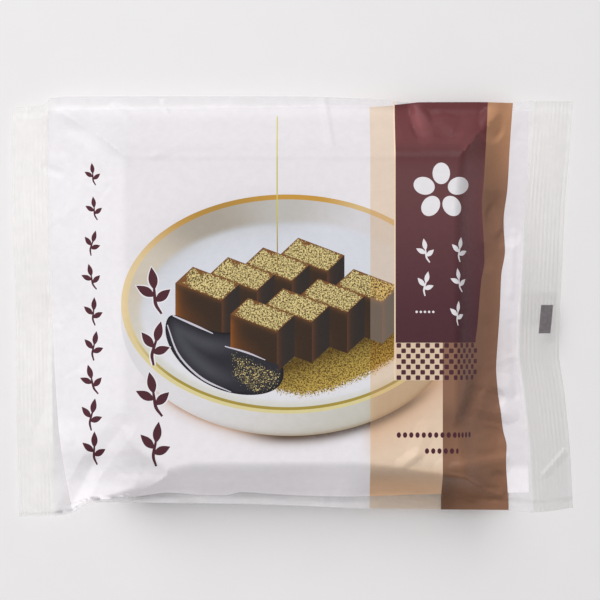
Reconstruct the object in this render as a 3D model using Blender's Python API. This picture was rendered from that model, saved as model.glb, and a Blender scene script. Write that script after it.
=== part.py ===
"""A sealed pillow pack of sweets, lying on its back with its printed side up.

Metres, +Z up, +X along the pack, +Y across it. The origin is under the middle of
the pack, at the height of the surface it rests on. The film is wrapped round a
shallow square tray, folded at the two long edges, joined by a fin seal along the
back and closed by a ribbed seal at each end. The pack is shut, so it is one solid.
"""
import bmesh
import bpy
import numpy as np

MM = 0.001

# Heights above the surface that the pack rests on, in millimetres
PACK_HEIGHT = 20.0
FOLD_HEIGHT = 7.0
LOWER_FOLD_HEIGHT = [(-84.0, 3.6), (-66.0, 4.0), (-52.0, 6.0), (-30.0, 8.4), (15.0, 8.0), (44.0, 4.6),
                     (84.0, 4.0)]
SEAL_HEIGHT = 6.5
CORNER_HEIGHT = 4.5
SEAL_DROOP = 1.6

# Outline of the pack seen from above: places along one axis, and the edge there
LEFT_EDGE = [(-71.5, -93.2), (-31.5, -93.9), (2.4, -94.2), (26.0, -95.1), (50.0, -95.8), (68.1, -95.1)]
RIGHT_EDGE = [(-68.5, 95.9), (-47.5, 94.7), (-29.5, 92.9), (-14.6, 91.0), (2.4, 91.5),
              (15.9, 92.2), (36.3, 93.2), (53.2, 94.6), (70.2, 95.9)]
BOTTOM_EDGE = [(-93.2, -71.5), (-84.1, -71.2), (-76.3, -70.4), (-67.8, -66.4), (-20.0, -66.8),
               (2.7, -67.5), (24.4, -68.5), (50.2, -69.0), (73.6, -69.2), (84.0, -69.9), (95.9, -68.5)]
TOP_EDGE = [(-95.0, 68.1), (-85.8, 68.6), (-82.0, 71.0), (-76.0, 71.5), (-0.7, 71.5),
            (28.8, 70.5), (38.0, 69.7), (63.7, 69.8), (74.9, 69.6), (85.4, 70.3), (95.9, 70.2)]

# Edges of the tray under the film, and how far from them the film comes down
TRAY_LEFT = [(-72.0, -20.0), (-60.0, -33.0), (-54.0, -43.0), (-47.0, -52.0), (-40.0, -56.6), (-33.0, -57.6),
             (56.0, -57.6)]
TRAY_RIGHT = [(-60.0, 59.0), (-30.0, 56.5), (30.0, 56.5), (60.0, 59.0)]
TRAY_BOTTOM = [(-66.0, -65.4), (-56.6, -62.0), (-46.8, -57.4), (-38.0, -54.9), (-30.8, -54.0), (20.0, -53.9),
               (32.0, -55.2), (52.0, -57.8), (62.0, -58.2)]
TRAY_TOP = 52.2
LEFT_REACH = [(-72.0, 63.0), (-60.0, 50.0), (-50.0, 40.0), (-34.0, 27.0), (0.0, 25.0)]
RIGHT_REACH = 15.5
LEFT_CURVE = 1.25
RIGHT_CURVE = 1.9
TOP_CURVE = 1.1
BOTTOM_CURVE = [(-60.0, 1.1), (18.0, 1.1), (36.0, 2.0), (60.0, 1.6)]
LIP_RATE = 1.2
LIP_CURVE = 0.1
TRAY_EDGE_RADIUS = 2.2
HIP_RADIUS = 8.0
TRAY_DRAFT = 4.0
BACK_CURVE = 1.5
CROWN = 0.5
CROWN_LENGTH = 58.0
CROWN_WIDTH = 55.0
LOWEST_FOLD = 3.5
HALF_LENGTH = 84.0
HALF_WIDTH = 70.0
SEAL_WAVE = 0.5
WAVE_LENGTH = 9.0

# The seals
RIB_PITCH = 1.36
RIB_HEIGHT = 0.28
LEFT_RIBS = 9
RIGHT_RIBS = 10
FILM_EDGE = 0.5
FIN_LOW = -6.0
FIN_HIGH = 5.0
FIN_DEPTH = 0.35
FIN_STEP = 0.3
LIFT = FIN_DEPTH

# Soft folds of the film: start, end, rise and half width
FOLDS = [
    ((-57.0, -40.0), (-68.0, -54.2), -0.6, 4.5),
    ((-68.0, -54.2), (-76.0, -69.0), -0.9, 4.5),
    ((-62.0, 53.0), (-84.0, 68.0), 0.4, 9.0),
    ((61.0, 52.0), (76.0, 66.0), 0.5, 8.0),
    ((61.8, -24.8), (58.0, -38.0), -1.2, 4.0),
    ((62.8, -34.0), (71.5, -36.0), 1.6, 4.2),
    ((52.0, -55.0), (71.0, -53.0), 0.8, 4.5),
    ((61.0, -59.0), (68.5, -63.5), -0.9, 3.5),
    ((70.0, 36.0), (74.0, 24.0), -0.8, 4.0),
]
FOLD_CREST = 0.45

# How the surface is divided: the steps of the grid, and how much of it bends with the long edges
FINE = 2.6
LEFT_FINE = 3.0
RIGHT_FINE = 2.35
COARSE = 9.0
FITTING_ROUNDS = 6
BODY_START = -82.0
LEFT_SLOPE_END = -54.0
RIGHT_SLOPE_START = 50.0
BODY_END = 78.5
FIRST_ROW = -70.0
LOWER_SLOPE_END = -50.0
UPPER_SLOPE_START = 48.0
LAST_ROW = 71.0
EDGE_SHARE = 0.32


def smooth_curve(points, at):
    """Reads a smooth curve through a few (place, value) points, with no overshoot between them."""
    places, values = np.array(points, float).T
    at = np.clip(at, places[0], places[-1])
    steps = np.diff(values) / np.diff(places)
    before, after = steps[:-1], steps[1:]
    turning = before * after <= 0
    inner = np.where(turning, 0, 2 * before * after / np.where(turning, 1, before + after))
    slopes = np.concatenate([steps[:1], inner, steps[-1:]])
    index = np.clip(np.searchsorted(places, at, side="right") - 1, 0, len(places) - 2)
    span = places[index + 1] - places[index]
    s = (at - places[index]) / span
    start = values[index] * (1 + 2 * s) + slopes[index] * span * s
    end = values[index + 1] * (3 - 2 * s) + slopes[index + 1] * span * (s - 1)
    return start * (1 - s) ** 2 + end * s ** 2


def rounded(distance, radius):
    """Distance past an edge, rounded at the edge, and nought before it."""
    near = np.clip(distance + radius, 0, None) ** 2 / (4 * radius)
    return np.where(distance > radius, distance, near)


def descent(distance, reach, curve):
    """Share of the drop that the film has made at a distance past the tray's edge."""
    share = np.clip(rounded(distance, TRAY_EDGE_RADIUS) / reach, 0, 1)
    return 1 - (1 - share) ** curve


def lipped(share):
    """Share of a drop that is over a little before the film's edge, which leaves a nearly level lip."""
    reached = LIP_RATE * share
    return reached - rounded(reached - 1, LIP_CURVE)


def soft_max(a, b, radius):
    """The larger of two amounts, rounded where they meet, and nought where both are."""
    larger = np.maximum(a, b)
    near = np.clip(radius - np.abs(a - b), 0, None) * np.clip(larger / radius, 0, 1)
    return larger + near ** 2 / (4 * radius)


def fold_relief(x, y):
    """Height that the folds add, each a ridge or a valley along a short line."""
    total = np.zeros_like(x)
    for start, end, rise, half_width in FOLDS:
        along = np.subtract(end, start)
        length = np.hypot(*along)
        ax, ay = along / length
        run = (x - start[0]) * ax + (y - start[1]) * ay
        off = np.abs((y - start[1]) * ax - (x - start[0]) * ay)
        past = np.maximum(np.maximum(-run, run - length), 0)
        reach = np.sqrt(off ** 2 + past ** 2 + FOLD_CREST ** 2)
        total += rise * np.clip(1 - reach / half_width, 0, None)
    return total


def seal_height(y, side):
    """Height of a seal's inner edge, lower at the corners and gently waved."""
    bend = np.clip(np.abs(y) / HALF_WIDTH, 0, 1) ** 2
    wave = SEAL_WAVE * np.sin(y / WAVE_LENGTH + side) * (1 - bend)
    return SEAL_HEIGHT + (CORNER_HEIGHT - SEAL_HEIGHT) * bend + wave


def fold_height(x, y):
    """Height of the folded long edges, lower at the corners and where the band meets the lower edge."""
    bend = np.clip(np.abs(x) / HALF_LENGTH, 0, 1) ** 4
    upper = FOLD_HEIGHT + (CORNER_HEIGHT - FOLD_HEIGHT) * bend
    return np.where(y < 0, smooth_curve(LOWER_FOLD_HEIGHT, x), upper)


def inner_edges(y):
    """X of the inner edges of the two end seals at a place across the pack."""
    left = smooth_curve(LEFT_EDGE, y) + LEFT_RIBS * RIB_PITCH
    right = smooth_curve(RIGHT_EDGE, y) - RIGHT_RIBS * RIB_PITCH
    return left, right


def drops(x, y, inset):
    """Drop of the film past the four tray edges, with the tray drawn in by an inset."""
    left = smooth_curve(TRAY_LEFT, y) + inset - x
    right = x - smooth_curve(TRAY_RIGHT, y) + inset
    top_gap = smooth_curve(TOP_EDGE, x) - TRAY_TOP
    bottom_gap = smooth_curve(TRAY_BOTTOM, x) - smooth_curve(BOTTOM_EDGE, x)
    top = y - TRAY_TOP + inset
    bottom = smooth_curve(TRAY_BOTTOM, x) + inset - y
    ends = np.maximum(descent(left, smooth_curve(LEFT_REACH, y) + inset, LEFT_CURVE),
                      descent(right, RIGHT_REACH + inset, RIGHT_CURVE))
    sides = np.maximum(descent(top, top_gap + inset, TOP_CURVE),
                       descent(bottom, bottom_gap + inset, smooth_curve(BOTTOM_CURVE, x)))
    return ends, lipped(sides)


def ribs(x, y):
    """Corrugation of the two end seals, fading out at their inner edges."""
    left = x - smooth_curve(LEFT_EDGE, y)
    right = smooth_curve(RIGHT_EDGE, y) - x
    wave = np.zeros_like(x)
    for depth, count in ((left, LEFT_RIBS), (right, RIGHT_RIBS)):
        phase = np.abs((depth / RIB_PITCH) % 1.0 - 0.5) * 2
        wave += np.where((depth > 0) & (depth < count * RIB_PITCH), 0.5 - phase, -0.5)
    return RIB_HEIGHT * (wave + 0.5)


def seal_sag(x, y):
    """How far the end seals droop towards their outer edges."""
    left, right = inner_edges(y)
    past = np.maximum(left - x, x - right) / (LEFT_RIBS * RIB_PITCH)
    return SEAL_DROOP * np.clip(past, 0, 1) ** 1.5


def front_height(x, y):
    """Height of the printed film that faces up."""
    ends, sides = drops(x, y, 0.0)
    low_end = seal_height(y, np.sign(x))
    end_drop = (PACK_HEIGHT - low_end) * ends
    side_drop = (PACK_HEIGHT - fold_height(x, y)) * sides
    crown = CROWN * np.cos(np.clip(x / CROWN_LENGTH, -1, 1) * np.pi / 2)
    crown = crown * np.cos(np.clip(y / CROWN_WIDTH, -1, 1) * np.pi / 2)
    height = PACK_HEIGHT - CROWN + crown - soft_max(end_drop, side_drop, HIP_RADIUS)
    return np.maximum(height + fold_relief(x, y), LOWEST_FOLD) - seal_sag(x, y) + ribs(x, y)


def back_height(x, y):
    """Height of the film underneath: flat under the tray, rising to the edges, with the fin below."""
    ends, sides = drops(x, y, TRAY_DRAFT)
    rise = soft_max(seal_height(y, np.sign(x)) * ends ** BACK_CURVE, fold_height(x, y) * sides ** BACK_CURVE,
                    HIP_RADIUS)
    closed = front_height(x, y) - FILM_EDGE
    sealed = seal_sag(x, y) > 0
    fin = np.abs(y - (FIN_LOW + FIN_HIGH) / 2) < (FIN_HIGH - FIN_LOW + FIN_STEP) / 2
    return np.where(sealed, closed, np.minimum(rise, closed)) - FIN_DEPTH * fin


def graded(start, end, step):
    """Evenly spaced places from start up to, but not at, the end."""
    count = max(1, round(abs(end - start) / step))
    return list(np.linspace(start, end, count, endpoint=False))


def column_places():
    """X of the grid's columns on the body, close together where the film slopes."""
    left = graded(BODY_START, LEFT_SLOPE_END, LEFT_FINE)
    middle = graded(LEFT_SLOPE_END, RIGHT_SLOPE_START, COARSE)
    return left + middle + graded(RIGHT_SLOPE_START, BODY_END, RIGHT_FINE)


def row_places():
    """Y of the grid's rows, close together on the slopes and doubled at the fin's steps."""
    lower = graded(FIRST_ROW, LOWER_SLOPE_END, FINE) + graded(LOWER_SLOPE_END, FIN_LOW - FIN_STEP, COARSE)
    fin = [FIN_LOW - FIN_STEP, FIN_LOW, FIN_HIGH, FIN_HIGH + FIN_STEP]
    upper = graded(FIN_HIGH + FIN_STEP + COARSE, UPPER_SLOPE_START, COARSE)
    return lower + fin + upper + graded(UPPER_SLOPE_START, LAST_ROW, FINE) + [LAST_ROW]


def plan_grid():
    """Plan positions of the grid: rib columns follow the ends, and rows the long edges."""
    rows = np.array(row_places())[:, None]
    share = (rows - rows[0]) / (rows[-1] - rows[0])
    near_bottom = np.clip(1 - share / EDGE_SHARE, 0, 1) ** 2
    near_top = np.clip(1 - (1 - share) / EDGE_SHARE, 0, 1) ** 2
    body = np.array(column_places())
    body_share = (body - BODY_START) / (BODY_END - BODY_START)
    left_ribs = np.arange(2 * LEFT_RIBS) * RIB_PITCH / 2
    right_ribs = np.arange(2 * RIGHT_RIBS, -1, -1) * RIB_PITCH / 2
    y = np.repeat(rows, len(left_ribs) + len(body) + len(right_ribs), axis=1)
    for _ in range(FITTING_ROUNDS):
        left, right = inner_edges(y[:, :1])
        x = np.hstack([smooth_curve(LEFT_EDGE, y[:, :len(left_ribs)]) + left_ribs,
                       left + (right - left) * body_share,
                       smooth_curve(RIGHT_EDGE, y[:, -len(right_ribs):]) - right_ribs])
        below = smooth_curve(BOTTOM_EDGE, x) - rows[0]
        above = smooth_curve(TOP_EDGE, x) - rows[-1]
        y = rows + below * near_bottom + above * near_top
    return x, y


def add_sheet(mesh, x, y, height, facing_up):
    """Adds a grid of points and its triangles, and returns the points.

    Each cell is split along the diagonal that lies nearer to the surface at its middle.
    """
    rows, columns = x.shape
    z = height(x, y)
    rising, falling = (z[:-1, :-1] + z[1:, 1:]) / 2, (z[:-1, 1:] + z[1:, :-1]) / 2
    middle = height((x[:-1, :-1] + x[1:, 1:]) / 2, (y[:-1, :-1] + y[1:, 1:]) / 2)
    turned = np.abs(falling - middle) < np.abs(rising - middle)
    points = [[mesh.verts.new((x[r, c] * MM, y[r, c] * MM, (z[r, c] + LIFT) * MM)) for c in range(columns)]
              for r in range(rows)]
    for r in range(rows - 1):
        for c in range(columns - 1):
            corners = [points[r][c], points[r][c + 1], points[r + 1][c + 1], points[r + 1][c]]
            corners = corners[1:] + corners[:1] if turned[r, c] else corners
            for triangle in ((0, 1, 2), (0, 2, 3)):
                face = [corners[i] for i in triangle]
                mesh.faces.new(face if facing_up else face[::-1])
    return points


def rim(points):
    """The points round the border of a sheet, in order."""
    return points[0] + [row[-1] for row in points[1:]] + points[-1][-2::-1] + [row[0] for row in points[-2:0:-1]]


def build_pack():
    """Makes the pack's one closed solid."""
    x, y = plan_grid()
    mesh = bmesh.new()
    upper = rim(add_sheet(mesh, x, y, front_height, True))
    lower = rim(add_sheet(mesh, x, y, back_height, False))
    for i, corner in enumerate(upper):
        following = (i + 1) % len(upper)
        mesh.faces.new((lower[i], lower[following], upper[following]))
        mesh.faces.new((lower[i], upper[following], corner))
    data = bpy.data.meshes.new("pack")
    mesh.to_mesh(data)
    mesh.free()
    data.shade_smooth()
    data.set_sharp_from_angle(angle=np.radians(35))
    pack = bpy.data.objects.new("pack", data)
    bpy.context.scene.collection.objects.link(pack)
    return pack


def film_material():
    """Matt white printed film."""
    material = bpy.data.materials.new("printed_film")
    material.use_nodes = True
    shader = material.node_tree.nodes["Principled BSDF"]
    shader.inputs["Base Color"].default_value = (0.80, 0.79, 0.80, 1)
    shader.inputs["Roughness"].default_value = 0.42
    shader.inputs["Metallic"].default_value = 0.0
    return material


def main():
    for old in list(bpy.data.objects):
        bpy.data.objects.remove(old)
    pack = build_pack()
    pack.data.materials.append(film_material())


main()
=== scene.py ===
"""Looks of a sealed pillow pack of sweets, lying on its back with its printed side up.

The film is white with a printed picture of a plate of sweets and a band of beige, maroon
and brown. It is see-through along the long edges and at the two ribbed end seals.
Plan positions and heights are in millimetres, and turned into metres when a mesh is made.
"""

import bpy
import numpy as np
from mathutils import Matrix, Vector
from mathutils.geometry import delaunay_2d_cdt


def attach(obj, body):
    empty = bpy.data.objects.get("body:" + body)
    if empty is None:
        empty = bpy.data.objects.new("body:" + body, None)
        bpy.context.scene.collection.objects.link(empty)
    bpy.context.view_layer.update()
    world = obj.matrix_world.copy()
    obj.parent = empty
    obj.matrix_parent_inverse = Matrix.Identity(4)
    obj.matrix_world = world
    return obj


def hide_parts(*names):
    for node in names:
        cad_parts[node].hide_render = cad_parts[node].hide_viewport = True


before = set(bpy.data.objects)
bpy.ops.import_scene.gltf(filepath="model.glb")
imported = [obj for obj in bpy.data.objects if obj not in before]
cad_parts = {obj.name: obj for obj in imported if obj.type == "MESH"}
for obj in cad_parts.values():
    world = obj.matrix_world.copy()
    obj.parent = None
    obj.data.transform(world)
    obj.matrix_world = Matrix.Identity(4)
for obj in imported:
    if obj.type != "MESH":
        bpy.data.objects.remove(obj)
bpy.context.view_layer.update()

MM = 0.001

# Heights above the surface that the pack rests on
PACK_HEIGHT = 20.0
FOLD_HEIGHT = 7.0
LOWER_FOLD_HEIGHT = [(-84.0, 4.5), (-66.0, 4.7), (-52.0, 6.0), (-30.0, 8.4), (15.0, 8.0), (44.0, 4.6),
                     (84.0, 4.5)]
SEAL_HEIGHT = 6.5
CORNER_HEIGHT = 4.5
SEAL_DROOP = 1.6

# Outline of the pack seen from above: places along one axis, and the edge there
LEFT_EDGE = [(-71.5, -93.2), (-31.5, -93.9), (2.4, -94.2), (26.0, -95.1), (50.0, -95.8), (68.1, -95.1)]
RIGHT_EDGE = [(-68.5, 95.9), (-47.5, 94.7), (-29.5, 92.9), (-14.6, 91.0), (2.4, 91.5),
              (15.9, 92.2), (36.3, 93.2), (53.2, 94.6), (70.2, 95.9)]
BOTTOM_EDGE = [(-93.2, -71.5), (-84.1, -71.2), (-76.3, -70.4), (-67.8, -66.4), (-20.0, -66.8),
               (2.7, -67.5), (24.4, -68.5), (50.2, -69.0), (73.6, -69.2), (84.0, -69.9), (95.9, -68.5)]
TOP_EDGE = [(-95.0, 68.1), (-85.8, 68.6), (-82.0, 71.0), (-76.0, 71.5), (-0.7, 71.5),
            (28.8, 70.5), (38.0, 69.7), (63.7, 69.8), (74.9, 69.6), (85.4, 70.3), (95.9, 70.2)]

# Edges of the tray under the film, and how far from them the film comes down
TRAY_LEFT = [(-72.0, -20.0), (-60.0, -33.0), (-54.0, -43.0), (-47.0, -52.0), (-40.0, -56.6),
             (-33.0, -57.6), (56.0, -57.6)]
TRAY_RIGHT = [(-60.0, 59.0), (-30.0, 56.5), (30.0, 56.5), (60.0, 59.0)]
TRAY_BOTTOM = [(-66.0, -65.4), (-56.6, -62.0), (-46.8, -57.4), (-38.0, -54.9), (-30.8, -54.0), (20.0, -53.9),
               (32.0, -55.2), (52.0, -57.8), (62.0, -58.2)]
TRAY_TOP = 52.2
LEFT_REACH = [(-72.0, 63.0), (-60.0, 50.0), (-50.0, 40.0), (-34.0, 27.0), (0.0, 25.0)]
RIGHT_REACH = 15.5
LEFT_CURVE = 1.25
RIGHT_CURVE = 1.9
TOP_CURVE = 1.1
BOTTOM_CURVE = [(-60.0, 1.1), (18.0, 1.1), (36.0, 2.0), (60.0, 1.6)]
LIP_RATE = 1.2
LIP_CURVE = 0.1
TRAY_EDGE_RADIUS = 2.2
HIP_RADIUS = 8.0
CORNER_RADIUS = 0.6
CORNER_FADE = (0.45, 0.9)
TRAY_DRAFT = 4.0
BACK_CURVE = 1.5
CROWN = 0.5
CROWN_LENGTH = 58.0
CROWN_WIDTH = 55.0
LOWEST_FOLD = 3.5
HALF_LENGTH = 84.0
HALF_WIDTH = 70.0
SEAL_WAVE = 0.5
WAVE_LENGTH = 9.0
WAVE_RISE = 0.12
RIPPLE_RISE = 0.05

# The seals
RIB_PITCH = 1.36
RIB_HEIGHT = 0.085
LEFT_RIBS = 9
RIGHT_RIBS = 10
FIN_LOW = -6.0
FIN_HIGH = 5.0
FIN_DEPTH = 0.35
FIN_PITCH = 1.1
FIN_INSET = 0.6
FIN_CRIMP = 0.09
FIN_GAP = 0.04
FIN_FILM = 0.16
GROUND_GAP = 0.01
SEAL_FILM = 0.14
FOLD_FILM = 0.5
FOLD_BULGE = 0.18

# The whole pack rests on its fin seal
LIFT = FIN_DEPTH

# The register mark on the right end seal, and how far it stands above the film
MARK_CORNERS = np.array([(84.0, -8.9), (88.0, -8.9), (88.9, 0.7), (84.8, 0.7)])
MARK_TOP = 0.05
MARK_BOTTOM = 0.02

# How wide the crest of a fold, a crease and a crinkle is rounded
FOLD_CREST = 0.45
CREASE_CREST = 0.3
CRINKLE_CREST = 0.25

# Large soft folds of the film: start, end, rise and half width
FOLDS = [
    ((-57.0, -40.0), (-68.0, -54.2), -0.6, 4.5),
    ((-68.0, -54.2), (-76.0, -69.0), -0.9, 4.5),
    ((-62.0, 53.0), (-84.0, 68.0), 0.4, 9.0),
    ((61.0, 52.0), (76.0, 66.0), 0.5, 8.0),
    ((65.0, -26.0), (72.0, -27.5), 0.8, 5.0),
    ((52.0, -55.0), (71.0, -53.0), 0.8, 4.5),
    ((61.0, -59.0), (68.5, -63.5), -0.9, 3.5),
    ((70.0, 36.0), (74.0, 24.0), -0.8, 4.0),
]

# Creases, finer than the folds: start, end, rise, and half widths to the left and right of the line
CREASES = [
    ((39.6, 67.8), (42.6, 56.5), -0.8, 2.0, 4.5),
    ((50.0, 65.0), (60.0, 55.0), 0.35, 3.0, 3.0),
    ((37.6, -53.2), (41.8, -50.2), 0.6, 3.0, 2.0),
    ((41.8, -50.2), (45.1, -41.7), 0.4, 4.0, 3.0),
    ((61.8, -24.8), (59.0, -34.0), -1.5, 5.0, 2.6),
    ((59.0, -34.0), (57.0, -39.4), -0.9, 4.0, 2.6),
    ((62.8, -34.4), (71.5, -36.4), 1.2, 6.0, 3.4),
    ((65.4, 39.0), (65.2, 22.0), 0.75, 5.5, 2.4),
    ((64.6, 19.0), (65.8, 14.5), -0.6, 3.0, 2.5),
    ((64.8, 11.0), (65.0, -2.0), 0.45, 4.5, 2.4),
    ((55.3, -53.3), (71.5, -51.2), 0.5, 1.4, 2.8),
    ((61.0, -59.0), (67.5, -62.8), 0.6, 1.2, 3.0),
    ((30.0, -57.5), (46.0, -60.0), -0.4, 2.0, 3.0),
    ((34.2, -64.4), (49.5, -67.5), 0.5, 1.2, 2.0),
    ((11.2, 70.5), (13.6, 55.6), 0.35, 1.2, 2.8),
    ((-45.8, 51.5), (-38.6, 54.6), 0.25, 1.5, 2.5),
    ((-10.8, 61.4), (4.0, 57.0), 0.2, 1.5, 3.0),
    ((-84.0, 47.5), (-79.0, 45.5), -0.35, 2.0, 2.0),
    ((-60.5, 68.5), (-56.0, 65.0), 0.4, 1.6, 2.0),
    ((-44.0, 69.5), (-42.5, 66.5), 0.4, 1.2, 1.2),
    ((-66.0, -66.0), (-31.0, -62.5), 0.35, 1.8, 1.6),
    ((-58.0, -58.5), (-21.0, -58.8), 0.2, 2.0, 2.4),
    ((-20.0, -63.6), (28.0, -65.0), 0.3, 1.6, 1.6),
    ((89.8, -14.2), (93.2, -30.5), 0.3, 1.2, 2.4),
    ((86.0, -56.5), (92.5, -49.2), 0.45, 1.0, 2.2),
    ((-79.0, -8.0), (-75.0, -45.0), 0.35, 1.5, 2.5),
    ((-77.0, 30.0), (-70.0, 44.0), 0.25, 2.0, 3.0),
    ((66.0, 38.0), (70.5, 22.0), -0.35, 2.0, 2.4),
    ((75.5, 25.0), (74.5, 4.0), 0.3, 1.4, 2.0),
    ((74.5, -6.0), (76.5, -30.0), -0.3, 1.4, 2.0),
]

# Patches where the slack film tilts: middle, half length, half width, turn in degrees, tilts along X and Y
FACETS = [
    ((43.8, 62.0), 6.0, 3.6, -75, 0.14, 0.22),
    ((52.5, 60.5), 5.0, 4.5, 0, -0.05, 0.25),
    ((68.0, 62.0), 5.5, 4.0, 90, -0.12, 0.20),
    ((68.8, 29.5), 5.5, 3.0, 90, 0.22, -0.10),
    ((67.8, -31.0), 4.2, 3.4, 0, -0.20, 0.0),
    ((42.5, -61.0), 7.0, 2.6, -8, 0.0, 0.25),
    ((58.0, -61.2), 8.0, 3.4, -28, 0.06, 0.30),
    ((70.0, -60.5), 4.5, 3.0, 90, 0.0, -0.14),
    ((66.5, -45.0), 5.0, 4.0, 20, -0.10, -0.12),
    ((-43.0, -64.4), 14.0, 3.2, 3, 0.0, -0.26),
]

# Small random crinkles, from a fixed seed
CRINKLE_SEED = 7
CRINKLE_COUNT = 190
CRINKLE_RISE = 0.13
CRINKLE_LENGTHS = (3.0, 14.0)
CRINKLE_WIDTHS = (1.0, 3.2)
CRINKLE_ROWS = (-70.0, 71.0)

# How much of the crinkles is left where the film lies flat on the tray, and how they calm in a seal
FLAT_SHARE = 0.16
SLACK_FADE = (0.02, 0.25)
SEAL_CALM = 0.55

# The print: edges of the white field and of the band's stripes
WHITE_LEFT = [(-69.5, -74.9), (-60.3, -76.6), (-51.9, -78.0), (-39.3, -79.5), (-7.1, -81.5),
              (31.9, -82.7), (64.4, -83.4)]
WHITE_TOP = [(-83.4, 66.6), (-31.2, 67.6), (26.4, 68.2), (50.2, 68.0), (80.7, 66.8)]
WHITE_BOTTOM = [(-78.6, -70.2), (-76.0, -69.9), (-68.2, -66.2), (-64.0, -65.3), (-56.0, -64.8),
                (-50.0, -64.0), (-42.0, -63.1), (-31.0, -63.8), (-23.1, -63.9), (-17.0, -62.9),
                (-8.0, -63.4), (0.0, -63.9), (18.6, -64.4), (50.2, -63.7), (80.7, -63.1)]
WHITE_RIGHT = [(-63.1, 80.7), (-48.5, 80.0), (-40.0, 79.3), (-24.7, 77.5), (-17.6, 76.4), (-9.5, 76.4),
               (2.4, 77.0), (15.9, 78.0), (43.1, 80.0), (64.4, 80.7)]
BROWN_RIGHT = [(-68.1, 73.8), (-61.0, 73.4), (-52.5, 72.9), (-47.5, 73.1), (-42.0, 71.9), (-35.3, 71.0),
               (-28.1, 70.0), (-20.7, 69.5), (-13.6, 69.9), (-1.4, 70.7), (10.5, 71.2), (19.3, 72.5),
               (28.8, 72.1), (40.7, 73.4), (56.3, 74.3), (69.8, 75.3)]
MAROON_RIGHT = [(-24.1, 62.0), (-11.9, 62.2), (-6.8, 62.8), (8.8, 64.2), (15.9, 65.4), (19.3, 65.3),
                (35.6, 64.5), (42.4, 65.1), (56.3, 65.9), (69.8, 66.7)]
BEIGE_LEFT = 26.4
BAND_TOP = (68.0, 68.6)
MAROON_TOP_EDGE = (68.8, 70.6)
MAROON_LEFT = 34.9
BROWN_LEFT = 50.8
SLOPE_START = 55.3
FLAT_MAROON_RIGHT = 66.7
FLAT_BROWN_RIGHT = 74.9
FLAT_WHITE_RIGHT = 81.0
CHECK_TOP = -12.0
CHECK_ROWS = 7
CHECK_PITCH = 1.81
CHECK_COLUMN = 1.61
CHECK_SQUARE = 1.56
CHECK_CORNER = 0.3
CHECK_STARTS = (1.1, 2.7)
LIGHT_EDGE = 0.45
LIGHT_BELOW = 12.7
BACK_WHITE = (-82.0, 81.5)
BACK_MAROON_LOW = 12.0

# A Y beyond both long edges, where the stripes that run off the film end
PAST_EDGE = 76.0

# Sprigs on the print: middle, size and turn in degrees
LARGE_SPRIGS = [((-46.6, 5.5), 15.5, 8), ((-46.2, -12.0), 14.5, -14), ((-46.8, -29.5), 15.0, 12),
                ((-46.2, -46.0), 14.5, -8)]
BAND_SPRIGS = [((44.9, 19.0), 8.0, 10), ((44.9, 8.0), 8.0, -12), ((56.6, 19.5), 8.0, -8),
               ((56.5, 9.0), 8.0, 12), ((56.0, -2.0), 8.0, -6)]
SPRIG_MARGIN = 0.45
SMALL_SPRIG_COUNT = 9
BLOSSOM_MIDDLE = (50.3, 39.0)
BLOSSOM_RADIUS = 9.8

# Rows of dots on the flat print: first X, last X, Y
DOT_ROWS = [(36.0, 64.5, -43.1), (45.5, 57.5, -48.5)]
DOT_PITCH = 2.1
WHITE_DOT_COUNT = 5

# A painted highlight and a streak of painted shade on creases in the band: middle, and turn in degrees
GLINT = ((42.6, 63.8), -72)
SHADE_STREAK = ((59.6, -31.5), 70)

# The printed plate: middle, half length and half width of its ellipses
PLATE_WALL = (-0.7, -3.7, 57.0, 39.7)
PLATE_RIM = (-1.6, 1.05, 56.0, 36.9)
PLATE_INNER = (-1.5, 1.3, 53.7, 35.0)
PLATE_LINE = (-1.5, 1.2, 54.5, 35.9)
PLATE_WELL = (-0.7, -1.7, 50.9, 30.8)

# The printed sweets: sides of a slice as drawn, and how far each slice is pushed along the last
SLICE_LONG = np.array((15.6, -5.9))
SLICE_SHORT = np.array((5.9, 5.5))
SLICE_PUSH = 0.38
SLICE_HEIGHT = 13.8
SYRUP_TOP = (-40.2, -2.1)
SYRUP_TOP_FALL = 0.474
SYRUP_TOP_LOW = -8.6
BACK_ROW = np.array((-39.3, 8.1))
FRONT_ROW = np.array((-20.7, -2.4))
BACK_SLICES = 4
FRONT_SLICES = 4

# How finely the surface is divided
BODY_STEP = 0.72
EDGE_STEP = 0.55
BACK_STEP = 1.6
SEAL_ROW_STEP = 0.9
RIB_SAMPLES = 6
FOLD_STEP = 0.5
OUTLINE_STEP = 0.5
SLOPE_NUDGE = 0.12
FOLD_ROWS = 7
FIN_ROWS = 9
MARK_GRID = (20, 28)

# X of the inner line of each end seal, roughly
SEAL_INSIDE = (-82.0, 81.0)

# How often the meeting of two curves, and the plan of a seal, are worked out again from the last result
PASSES = 12
PLAN_PASSES = 8

# The drop from which the film hangs loose, with no tray close behind it
LOOSE_FROM = 0.55


def smooth_curve(points, at):
    """Reads a smooth curve through a few (place, value) points, with no overshoot between them."""
    places, values = np.array(points, float).T
    at = np.clip(at, places[0], places[-1])
    steps = np.diff(values) / np.diff(places)
    before, after = steps[:-1], steps[1:]
    turning = before * after <= 0
    inner = np.where(turning, 0, 2 * before * after / np.where(turning, 1, before + after))
    slopes = np.concatenate([steps[:1], inner, steps[-1:]])
    index = np.clip(np.searchsorted(places, at, side="right") - 1, 0, len(places) - 2)
    span = places[index + 1] - places[index]
    s = (at - places[index]) / span
    start = values[index] * (1 + 2 * s) + slopes[index] * span * s
    end = values[index + 1] * (3 - 2 * s) + slopes[index + 1] * span * (s - 1)
    return start * (1 - s) ** 2 + end * s ** 2


def ramp(value, low, high):
    """Smooth step from 0 at low to 1 at high."""
    s = np.clip((value - low) / (high - low), 0, 1)
    return s * s * (3 - 2 * s)


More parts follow.
